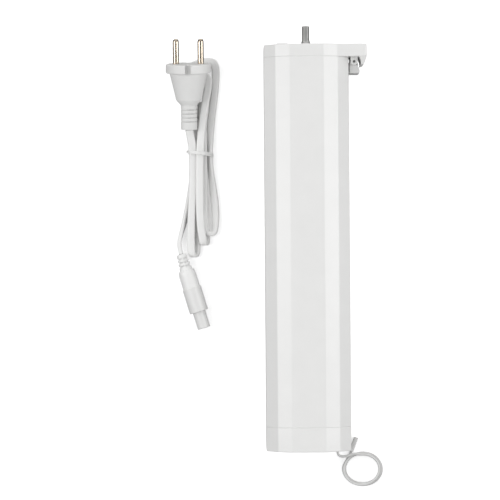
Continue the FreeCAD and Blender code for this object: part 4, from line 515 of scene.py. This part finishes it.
# The flat cord's centre line, close to its route in the CAD: x, y and z of each control point,
# then the way in which the cord's wide side lies there
MAINS_ROUTE = [
    # strand 1, from the plug's strain relief, over the tie's place, to the left fold
    (-90.0, 91.8, 14.6, -1, 0, 0), (-88.9, 86.0, 13.4, -1, 0, 0.1),
    (-87.0, 73.6, 11.2, -1, 0, 0.2), (-87.6, 45.0, 9.6, -1, 0, 0.1),
    (-89.5, 14.0, 8.0, -1, 0, 0), (-89.4, 1.0, 7.6, -1, 0, 0),
    (-88.8, -5.0, 7.0, -0.9, 0, -0.35), (-85.6, -5.0, 3.0, -0.9, 0, -0.35),
    # strand 2, up under the plug's body
    (-85.0, 1.5, 2.9, -1, 0, -0.25), (-84.9, 20.0, 3.4, -1, 0, 0),
    (-85.3, 73.6, 6.6, -1, 0, 0), (-86.0, 112.0, 6.4, -1, 0, 0),
    (-85.6, 130.5, 5.9, -0.7, 0.7, 0), (-74.8, 134.5, 6.9, 0.7, 0.7, 0),
    # strand 3, beside the plug's body, on top at the tie, to the middle fold
    (-75.2, 125.0, 8.6, 1, 0, 0), (-77.8, 111.0, 10.3, 1, 0, 0), (-79.8, 99.6, 11.3, 1, 0, 0),
    (-82.0, 73.6, 13.2, 1, 0, 0), (-82.3, 45.0, 11.6, 1, 0, 0), (-82.2, 26.0, 10.4, 1, 0, 0),
    (-81.3, 14.0, 9.4, 1, 0, 0), (-80.3, 8.5, 8.8, 1, 0, 0), (-79.9, 4.1, 8.4, 1, 0, -0.1),
    (-77.7, 4.1, 3.2, 1, 0, -0.1),
    # strand 4, on the table
    (-77.6, 10.5, 2.6, 1, 0, 0), (-77.3, 26.0, 2.2, 1, 0, 0), (-77.5, 42.0, 2.2, 1, 0, 0),
    (-79.1, 73.6, 2.9, 1, 0, 0), (-82.4, 96.0, 2.0, 1, 0, 0), (-82.8, 104.0, 1.95, 1, 0, 0),
    (-82.8, 111.0, 1.95, 0.8, -0.6, 0), (-79.9, 111.0, 6.2, -0.8, -0.6, 0),
    # strand 5, under strand 3, to the right-hand fold, where the cord stands on its edge
    (-79.9, 103.0, 6.4, -1, 0, 0), (-79.3, 73.6, 8.9, -1, 0, 0), (-79.6, 45.0, 6.9, -1, 0, 0.1),
    (-79.3, 27.0, 6.3, -1, 0, 0.2), (-78.1, 17.0, 6.0, -0.5, 0, 0.87),
    (-76.8, 11.8, 5.0, -0.1, -0.3, 0.95), (-71.4, 11.6, 3.8, 0.3, -0.4, 0.87),
    # strand 6, round the right-hand side, then flat up to the large loop behind the flange
    (-70.6, 17.5, 3.2, 0.8, 0, 0.6), (-70.3, 27.5, 2.5, 0.97, 0, 0.25),
    (-70.9, 38.0, 2.4, 0.97, 0, 0.25), (-72.7, 50.0, 2.9, 0.9, 0, 0.4),
    (-74.3, 62.0, 4.0, 0.7, 0, 0.7), (-74.6, 73.6, 4.6, 0.55, 0, 0.83),
    (-74.5, 84.0, 3.8, 0.95, 0, 0.3), (-73.1, 99.6, 2.8, 1, 0, 0), (-71.5, 112.0, 2.4, 1, 0, 0),
    (-69.5, 129.0, 2.2, 1, 0, 0), (-69.3, 144.6, 2.2, 0.7, 0.7, 0), (-79.0, 145.4, 2.6, 0, 1, 0),
    (-90.0, 141.0, 2.2, -0.7, 0.7, 0),
    # strand 7, under the others at the tie
    (-91.0, 131.0, 1.95, -1, 0, 0), (-88.5, 104.0, 2.0, -1, 0, 0), (-85.3, 73.6, 2.9, -1, 0, 0),
    (-87.0, 58.0, 2.2, -1, 0, 0), (-88.6, 45.0, 2.1, -1, 0, 0.1),
    # the end that leaves the hank for the connector, on its edge
    (-91.2, 32.2, 2.9, -0.7, 0, 0.7), (-95.0, 18.5, 3.5, -0.2, 0, 0.98),
    (-97.6, 10.0, 4.6, 0, 0, 1), (-98.6, 3.6, 6.4, 0, 0, 1), (-97.9, -1.2, 7.2, 0, 0, 1),
    (-97.0, -4.2, 7.3, 0, 0, 1)]
CORD_WIDTH, CORD_THICKNESS = 6.1, 3.7


def twin_section(corner_count=20):
    """The flat twin cord's outline, as places across it and up from its middle.

    Two round cores lie side by side under one skin: a round edge, and a faint dip between.
    """
    core, core_shift = CORD_THICKNESS / 2, (CORD_WIDTH - CORD_THICKNESS) / 2
    dip_depth, dip_spread = 0.12, 1.2
    section = []
    for k in range(corner_count):
        turn = math.radians(360 / corner_count * (k + 0.5))
        across, up = math.cos(turn), math.sin(turn)
        dip = dip_depth * math.exp(-((across * core_shift * 2) ** 2) / dip_spread)
        section.append((math.copysign(core_shift, across) + across * core, up * core * (1 - dip)))
    return section


def flat_cord(name, route, material):
    """Sweeps the flat twin cord's section along its smooth line. Returns the piece and the line."""
    # a second line, half a millimetre off, shows which way the cord's wide side lies
    offset = 0.5
    beside = [[point[k] + offset * point[k + 3] for k in range(3)] for point in route]
    centre = points_along(smooth_line(name + "_centre", [point[:3] for point in route]))
    rim = points_along(smooth_line(name + "_rim", beside))
    section = twin_section()
    corners = []
    for k, middle in enumerate(centre):
        ahead = (centre[min(k + 1, len(centre) - 1)] - centre[max(k - 1, 0)]).normalized()
        wide = rim[k] - middle
        wide = (wide - ahead * wide.dot(ahead)).normalized()
        thick = ahead.cross(wide)
        corners += [middle + (wide * a + thick * b) * MM for a, b in section]
    count = len(section)
    ends = [tuple(range(count)), tuple(range(len(corners) - count, len(corners)))]
    piece = mesh_piece(name, corners, ring_faces(len(centre), count) + ends, material)
    shape = bmesh.new()
    shape.from_mesh(piece.data)
    bmesh.ops.remove_doubles(shape, verts=shape.verts, dist=1e-7)
    bmesh.ops.recalc_face_normals(shape, faces=shape.faces)
    shape.to_mesh(piece.data)
    shape.free()
    return piece, centre


lead, lead_line = flat_cord("mains_cord", MAINS_ROUTE, CORD_PVC)
place_for(lead, "lead", "cord_pvc", "cord_hank", "connector_strand")

# The aerial wire: out of its grommet, not quite three loose turns down to the table, and on to
# its thicker tip. The coil's middle, half width, half height and rise in a turn are in
# millimetres. In degrees it has a start, a sweep, which is clockwise, and a step between points.
COIL_X, COIL_Y, COIL_WIDE, COIL_HIGH, COIL_RISE = 42.0, -171.3, 14.3, 12.6, 3.8
COIL_START, COIL_SWEEP, COIL_STEP = 100.0, 1000.0, 22.5
WIRE_RADIUS = 1.0


def coil_point(share):
    """Point on the aerial's loose coil, from its top at 0 to the table at 1."""
    turn = math.radians(COIL_START - COIL_SWEEP * share)
    turns = COIL_SWEEP / 360
    # no two turns have the same size or the same middle
    loose = 1 + 0.065 * math.cos(4.1 * share * turns + 2.4)
    drift = 0.5 * math.sin(5.3 * share * turns + 2.6)
    return (COIL_X + drift + COIL_WIDE * loose * math.cos(turn),
            COIL_Y - drift + COIL_HIGH * loose * math.sin(turn),
            WIRE_RADIUS + COIL_RISE * turns * (1 - share))


coil_steps = round(COIL_SWEEP / COIL_STEP)
AERIAL_ROUTE = [(22.6, -155.6, 12.0), (22.6, -158.8, 12.0), (24.2, -160.9, 11.9),
                (27.8, -161.3, 11.8), (31.3, -160.3, 11.7), (34.8, -159.0, 11.7)]
AERIAL_ROUTE += [coil_point(k / coil_steps) for k in range(coil_steps + 1)]
AERIAL_ROUTE += [(29.8, -165.2, 1.05), (32.3, -161.4, 1.4), (34.1, -156.4, 1.7)]
aerial = smooth_line("aerial_wire", AERIAL_ROUTE)
round_wire(aerial, WIRE_RADIUS, 4)
aerial.data.materials.append(AERIAL_PVC)
place_for(aerial, "housing", "aerial_pvc", "aerial_lead", "aerial_coil")

# ---------------------------------------------------------------- housing

# The housing seen from an end: x of its sides, z of its front, and x and z of the edges between
# the long faces of its front. Its ends lie at this y, on either side of the middle.
HALF_WIDTH, FRONT, END = 32.25, 50.0, 154.5
FACET_EDGES = ((12.85, 50.0), (23.45, 46.1), (32.25, 37.3))
# The height of the drive shaft's axis, and of the hook arm's front
AXIS, ARM_FRONT = 25, 46.1
# x and z of the screws, and y of their heads' tops
CAP_SCREWS = ((-27.6, 4.6), (27.6, 4.6), (-25.6, 37.4), (25.6, 37.4))
GEAR_SCREWS = ((-11.67, 13.33), (11.67, 13.33), (-11.67, 36.67), (11.67, 36.67))
SCREW_TOP = 154.1


def inside_outline(x, z):
    """How far a point lies inside the housing's outline, in millimetres."""
    x = abs(x)
    depths = [HALF_WIDTH - x, z, FRONT - z]
    for (x_0, z_0), (x_1, z_1) in zip(FACET_EDGES, FACET_EDGES[1:]):
        run, fall = x_1 - x_0, z_0 - z_1
        depths.append((fall * (x_0 - x) + run * (z_0 - z)) / math.hypot(run, fall))
    return min(depths)


def is_shell_edge(middle, along, end):
    """Is this an edge between two long faces, or round this end, and not of one of its holes?"""
    between_faces = abs(along.y) > 0.999 and any(
        math.hypot(abs(middle.x) - x, middle.z - z) < 0.05 for x, z in FACET_EDGES)
    round_end = (end is not None and abs(middle.y - end) < 0.02
                 and inside_outline(middle.x, middle.z) < 0.45)
    return between_faces or round_end


def slope_nose():
    """The hook's nose falls away from the arm's lower edge, so it lies in its own shade.

    The nose is the arm's outer part, beyond x 39, below the fold.
    """
    nose_side, fold, slope = 39, 144.9, math.radians(58)

    def on_arm_front(middle, normal):
        return middle.x > HALF_WIDTH and middle.z > ARM_FRONT - 0.1 and normal.z > 0.99

    pick("FACE", on_arm_front)
    bpy.ops.mesh.bisect(plane_co=mm(0, fold, 0), plane_no=(0, 1, 0))
    pick("FACE", lambda middle, normal:
         on_arm_front(middle, normal) and middle.x > nose_side and middle.y < fold - 0.1)
    hinge = mm(nose_side, fold, ARM_FRONT)
    bpy.ops.transform.rotate(value=-slope, orient_axis="X", center_override=hinge)
    bpy.ops.transform.resize(value=(1, 1 / math.cos(slope), 1), center_override=hinge)


def shell_piece(node, end=None):
    """One of the housing's three pieces, with the soft edges of a moulding.

    End is y of a cap's outer face.
    """
    piece = merged_copy(node, node + "_shell")
    if node == "head_cap":
        slope_nose()
    pick("EDGE", lambda middle, along: is_shell_edge(middle, along, end))
    round_edges(0.6, 3)
    close_piece(piece, WHITE_SHELL, 40)
    place_for(piece, "housing", "white_shell", node)


shell_piece("main_sleeve")
shell_piece("head_cap", END)
shell_piece("bottom_cap", -END)

# Thin rubber pad that stands on the head end, with a shallow dished face
pad = box("end_pad_soft", (-22.7, END, 38.8), (-13.9, 155.0, 45.8))
pick("EDGE", lambda middle, along: abs(along.y) > 0.9)
round_edges(0.8, 3)
pick("FACE", lambda middle, normal: normal.y > 0.9)
bpy.ops.mesh.inset(thickness=0.7 * MM)
bpy.ops.transform.translate(value=mm(0, -0.15, 0))
close_piece(pad, PAD_RUBBER)
place_for(pad, "housing", "pale_rubber", "end_pad")

# ---------------------------------------------------------------- drive shaft

# y where the hexagon comes out of its collar, and of its tip, and how far its corners lie from
# the axis
HEX_START, HEX_TIP, HEX_CORNER = 156, 169.7, 2.887


def from_axis(middle):
    """How far a point lies from the drive shaft's axis, in millimetres."""
    return math.hypot(middle.x, middle.z - AXIS)


shaft = merged_copy("drive_shaft", "drive_shaft_hex")
# the hexagon's long edges, then the rim of its tip
pick("EDGE", lambda middle, along: middle.y > HEX_START and from_axis(middle) > HEX_CORNER - 0.03)
round_edges(0.3, 3)
pick("EDGE", lambda middle, along: middle.y > HEX_TIP - 0.01 and from_axis(middle) > 2.0)
round_edges(0.45, 3)
close_piece(shaft, SHAFT_STEEL, 25)
place_for(shaft, "output", "shaft_steel", "drive_shaft")

collar = stack("shaft_collar_flared", 48, [
    (154.8, 4.0, 4.0), (154.95, 4.1, 4.1), (155.6, 4.1, 4.1), (156.2, 3.8, 3.8),
    (157.0, 3.4, 3.4), (157.9, 3.15, 3.15), (158.4, 3.1, 3.1), (158.5, 3.0, 3.0)], (0, AXIS))
close_piece(collar, SHAFT_STEEL)
place_for(collar, "output", "shaft_steel", "shaft_collar")

# ---------------------------------------------------------------- release lever

# Thumb lever: a block with a rolled foot, drawn in towards its round head. Each cut is y, and
# how far the block's side is drawn in there.
LEVER_SIDE, LEVER_FOOT, LEVER_TOP = 40.8, 132.7, 141.5
LEVER_CUTS = ((133.6, 0.1), (134.9, 0.1), (136.6, 0.75), (138.4, 1.15))
lever = box("release_lever_grip", (33.0, LEVER_FOOT, 15.45), (LEVER_SIDE, LEVER_TOP, 34.85))
for height, _ in LEVER_CUTS:
    bpy.ops.mesh.select_all(action="SELECT")
    bpy.ops.mesh.bisect(plane_co=mm(0, height, 0), plane_no=(0, 1, 0))
for height, drawn_in in LEVER_CUTS + ((LEVER_TOP, 1.65),):
    pick("EDGE", lambda middle, along:
         abs(middle.y - height) < 0.1 and middle.x > LEVER_SIDE - 0.1 and abs(along.z) > 0.9)
    bpy.ops.transform.translate(value=mm(-drawn_in, 0, 0))
pick("EDGE", lambda middle, along: abs(middle.y - LEVER_FOOT) < 0.1 and middle.x > LEVER_SIDE - 0.1)
round_edges(1.5, 4)
pick("EDGE", lambda middle, along: abs(along.z) < 0.5)
round_edges(0.4, 2)
close_piece(lever, LEVER_ACETAL, 35)
head = start("lever_round_head", bpy.ops.mesh.primitive_cylinder_add, vertices=48,
             radius=2.7 * MM, depth=19.1 * MM, location=mm(36.45, LEVER_TOP, 25.15))
pick("EDGE", lambda middle, along: abs(along.z) < 0.5)
round_edges(0.35, 2)
close_piece(head, LEVER_ACETAL, 35)
lever = join([lever, head])
place_for(lever, "lever", "lever_plastic", "release_lever")

# ---------------------------------------------------------------- mains plug

# The plug is modelled with the middle of its pins' face at the origin, then laid in its place
# with its pins tilted up by 9 degrees
PLUG = dict(place=(-90.0, 141.8, 22.5), turn=(9, 0, 0))
PIN_GAP = 19.0

flange = stack("plug_flange", 72, [
    (0, 16.3, 16.3), (-0.2, 16.9, 16.9), (-0.6, 17.35, 17.35), (-1.1, 17.5, 17.5),
    (-6.0, 17.5, 17.5), (-6.5, 17.3, 17.3), (-6.9, 16.8, 16.8), (-7.0, 16.2, 16.2)])
close_piece(flange, PLUG_PVC)
notches = []
for side in (1, -1):
    notch = box("earth_notch", (-2.2, -8, 12.8), (2.2, 1, 20))
    flip_over(side)
    notches.append(close_piece(notch, PLUG_PVC))
carve(flange, notches)
grip = stack("plug_grip", 72, [
    (-6.6, 14.7, 11.5), (-8.0, 14.4, 11.3), (-27.2, 9.9, 8.0), (-28.2, 9.4, 7.6),
    (-31.0, 6.8, 5.2), (-31.7, 6.3, 4.75)])
close_piece(grip, PLUG_PVC, 40)
plug = join([flange, grip])
plug.name = plug.data.name = "mains_plug"
close_piece(plug, PLUG_PVC, 35, **PLUG)
place_for(plug, "lead", "cord_pvc", "plug_body")

pins = []
for side in (-1, 1):
    pin = stack("plug_pin", 40, [
        (-2, 1.8, 1.8), (0, 1.8, 1.8), (0, 2.4, 2.4), (16.8, 2.4, 2.4), (17.6, 2.27, 2.27),
        (18.3, 1.98, 1.98), (18.8, 1.55, 1.55), (19.1, 1.0, 1.0), (19.2, 0.5, 0.5)],
        (side * PIN_GAP / 2, 0))
    pins.append(close_piece(pin, PIN_NICKEL, 35))
pins = join(pins)
close_piece(pins, PIN_NICKEL, 35, **PLUG)
place_for(pins, "lead", "bright_pins", "plug_pins")

# Grooves cut across the top and foot of the relief, which leave its sides whole
rings = [(-31.2, 6.3, 4.75)]
for groove in (34.65, 37.7, 40.75, 43.8):
    rings += [(-groove, 6.25, 4.7), (-groove - 0.05, 5.8, 2.9), (-groove - 0.8, 5.8, 2.9),
              (-groove - 0.85, 6.25, 4.7)]
rings += [(-50.1, 6.25, 4.7), (-50.45, 6.05, 4.5), (-50.6, 5.6, 4.05)]
relief = stack("plug_strain_relief", 56, rings)
close_piece(relief, PLUG_PVC, 35, **PLUG)
place_for(relief, "lead", "cord_pvc", "plug_relief")

# ---------------------------------------------------------------- round connector

# The connector is modelled with the cord's end at the origin and its nose along Y, then laid in
# its place
CONNECTOR = dict(place=(-97.0, -4.2, 7.3), turn=(0, 0, 196.8))

# Its relief: slots across a cone, deeper at top and foot, with a thin web along each of those
rings = [(0, 2.9, 2.9), (0.35, 3.5, 3.5), (1.0, 3.75, 3.75)]
for groove in (3.0, 5.9, 8.8):
    outer = 3.75 + 0.09 * groove
    rings += [(groove, outer, outer), (groove + 0.05, outer - 0.7, outer - 1.9),
              (groove + 1.25, outer - 0.7, outer - 1.9), (groove + 1.3, outer + 0.1, outer + 0.1)]
rings += [(12.9, 4.9, 4.9), (13.0, 4.8, 4.8)]
relief = stack("connector_relief_core", 56, rings)
close_piece(relief, CORD_PVC, 35)
webs = []
for side in (1, -1):
    web = box("relief_web", (-0.6, 1.2, 2.0), (0.6, 12.4, 3.7))
    pick("FACE", lambda middle, normal: normal.y > 0.9)
    bpy.ops.transform.translate(value=mm(0, 0, 0.75))
    flip_over(side)
    webs.append(close_piece(web, CORD_PVC, 35))
relief = join([relief] + webs)
relief.name = relief.data.name = "connector_strain_relief"
close_piece(relief, CORD_PVC, 35, **CONNECTOR)
place_for(relief, "lead", "cord_pvc", "connector_relief")

grip = stack("connector_grip", 64, [
    (12.8, 4.5, 4.5), (12.85, 5.6, 5.6), (13.2, 5.95, 5.95), (14.6, 6.4, 6.4),
    (16.2, 6.65, 6.65), (16.8, 6.7, 6.7), (27.3, 6.7, 6.7), (27.5, 6.65, 6.65)])
close_piece(grip, CORD_PVC, 35, **CONNECTOR)
place_for(grip, "lead", "cord_pvc", "connector_body")
sleeve = stack("connector_sleeve_ring", 64, [
    (27.5, 6.8, 6.8), (27.55, 7.1, 7.1), (27.9, 7.3, 7.3), (45.6, 7.3, 7.3),
    (46.2, 7.2, 7.2), (46.5, 6.9, 6.9)])
close_piece(sleeve, CONNECTOR_PC, 35, **CONNECTOR)
place_for(sleeve, "lead", "connector_plastic", "connector_sleeve")
nose = stack("connector_nose_barrel", 56, [
    (46.3, 5.0, 5.0), (59.0, 5.0, 5.0), (59.5, 4.85, 4.85), (59.8, 4.4, 4.4)])
close_piece(nose, CONNECTOR_PC, 35)
contacts = []
for side in (-2, 2):
    contact = stack("contact_hole", 24, [(51, 0.9, 0.9), (62, 0.9, 0.9)], (side, 0))
    contacts.append(close_piece(contact, CONNECTOR_PC))
carve(nose, contacts)
close_piece(nose, CONNECTOR_PC, 35, **CONNECTOR)
place_for(nose, "lead", "connector_plastic", "connector_nose")

# ---------------------------------------------------------------- tie round the hank

# x and z round the strands, then x and y of the tie's middle, and its slant: it lies askew
TIE_LOOP = ((-91.2, 11.2), (-90.3, 13.2), (-86.0, 14.7), (-82.5, 15.9), (-79.0, 15.6),
            (-76.2, 12.6), (-72.6, 8.6), (-71.8, 4.6), (-72.9, 1.7), (-76.0, 0.6), (-82.0, 0.6),
            (-88.0, 0.6), (-89.2, 2.4), (-90.4, 7.0))
TIE_X, TIE_Y, TIE_SLANT = -81, 73.6, 0.13
TIE_WIDTH, TIE_THICKNESS = 2.7, 1.1


def tie_band(name):
    """The flat coated tie as a closed band, with a wire's ridge along both its edges."""
    line = smooth_line(name + "_loop", [(x, TIE_Y - TIE_SLANT * (x - TIE_X), z)
                                        for x, z in TIE_LOOP + TIE_LOOP[:2]])
    # the curve's last points run over its first ones, and are cut off where they meet
    overlap = 6
    points = points_along(line)[overlap:-overlap]
    section = [(-0.5, -0.5), (-0.5, 0.3), (-0.36, 0.5), (-0.2, 0.5), (0, 0.32), (0.2, 0.5),
               (0.36, 0.5), (0.5, 0.3), (0.5, -0.5)]
    corners = []
    for k, point in enumerate(points):
        ahead = points[(k + 1) % len(points)] - points[k - 1]
        out = Vector((-ahead.z, 0, ahead.x)).normalized()
        corners += [point + Vector((0, a * TIE_WIDTH * MM, 0)) + out * b * TIE_THICKNESS * MM
                    for a, b in section]
    faces = ring_faces(len(points), len(section), closed=True)
    return mesh_piece(name, corners, faces, TIE_PVC)


def tie_end(start_turn):
    """One of the tie's two ends, twisted round the other, from the hank's left side outwards."""
    twist, step = 0.5, 1.1
    line = smooth_line("tie_end", [(-90.4 - 0.4 * k,
                                    75.0 + twist * math.cos(start_turn + step * k) - 0.05 * k,
                                    11.2 + twist * math.sin(start_turn + step * k) + 0.1 * k)
                                   for k in range(6)])
    round_wire(line, 0.55, 3)
    take(line)
    bpy.ops.object.convert(target="MESH")
    return bpy.context.object


tie = join([tie_band("cord_tie_band"), tie_end(0), tie_end(math.pi)])
close_piece(tie, TIE_PVC, 45)
place_for(tie, "lead", "tie_pvc", "cord_tie")

# ---------------------------------------------------------------- aerial's ends and set button

grommet = stack("aerial_grommet_lip", 48, [
    (-153.0, 2.8, 2.8), (-154.4, 2.8, 2.8), (-154.5, 3.6, 3.6), (-154.7, 3.7, 3.7),
    (-155.2, 3.65, 3.65), (-155.5, 3.3, 3.3), (-155.7, 2.4, 2.4), (-156.0, 1.9, 1.9),
    (-156.1, 1.5, 1.5)], (22.6, 12.0))
close_piece(grommet, PAD_RUBBER)
place_for(grommet, "housing", "pale_rubber", "aerial_grommet")

tip = stack("aerial_tip_sleeve", 40, [
    (0, 1.05, 1.05), (0.25, 1.5, 1.5), (0.9, 1.7, 1.7), (11.4, 1.7, 1.7), (11.65, 1.6, 1.6),
    (11.7, 1.4, 1.4), (11.6, 1.05, 1.05), (9.7, 1.0, 1.0)])
close_piece(tip, AERIAL_PVC, 40, place=(33.4, -158.3, 1.7), turn=(0, 0, -20))
place_for(tip, "housing", "aerial_pvc", "aerial_tip")

button = stack("set_button_cap", 48, [
    (-149.0, 3.0, 3.0), (-155.3, 3.0, 3.0), (-155.6, 2.8, 2.8), (-155.7, 2.4, 2.4),
    (-155.6, 1.7, 1.7), (-155.5, 0.8, 0.8)], (-19.0, 20.0))
close_piece(button, BUTTON_ABS)
place_for(button, "button", "button_plastic", "set_button")

# ---------------------------------------------------------------- screws

def screw_set(name, node, top, turn, places, shank):
    """Pan-head screws with a cross recess: one is modelled, and the others are its copies.

    Top is y of the heads' tops, a turn of 180 degrees makes them point the other way, and the
    shank's length includes the head.
    """
    first = stack(name, 40, [
        (-shank, 1.2, 1.2), (-2.2, 1.2, 1.2), (-2.2, 2.6, 2.6), (-2.05, 2.7, 2.7),
        (-0.9, 2.7, 2.7), (-0.35, 2.35, 2.35), (-0.05, 1.6, 1.6), (0.0, 0.8, 0.8)])
    close_piece(first, SCREW_STEEL, 35)
    carve(first, [close_piece(box("cross", (-wide, -1.3, -high), (wide, 1, high)), SCREW_STEEL)
                  for wide, high in ((1.7, 0.45), (0.45, 1.7))])
    copies = []
    for x, z in places:
        copy = first.copy()
        copy.data = first.data.copy()
        bpy.context.scene.collection.objects.link(copy)
        copies.append(close_piece(copy, SCREW_STEEL, 35, place=(x, top, z), turn=(0, 0, turn)))
    bpy.data.objects.remove(first)
    screws = join(copies)
    screws.name = screws.data.name = name
    place_for(screws, "housing", "screw_steel", node)


screw_set("head_cap_screws", "head_screws", SCREW_TOP, 0, CAP_SCREWS, shank=15)
screw_set("gear_case_screws", "gearbox_screws", SCREW_TOP, 0, GEAR_SCREWS, shank=12)
screw_set("bottom_cap_screws", "bottom_screws", -SCREW_TOP, 180, CAP_SCREWS, shank=15)
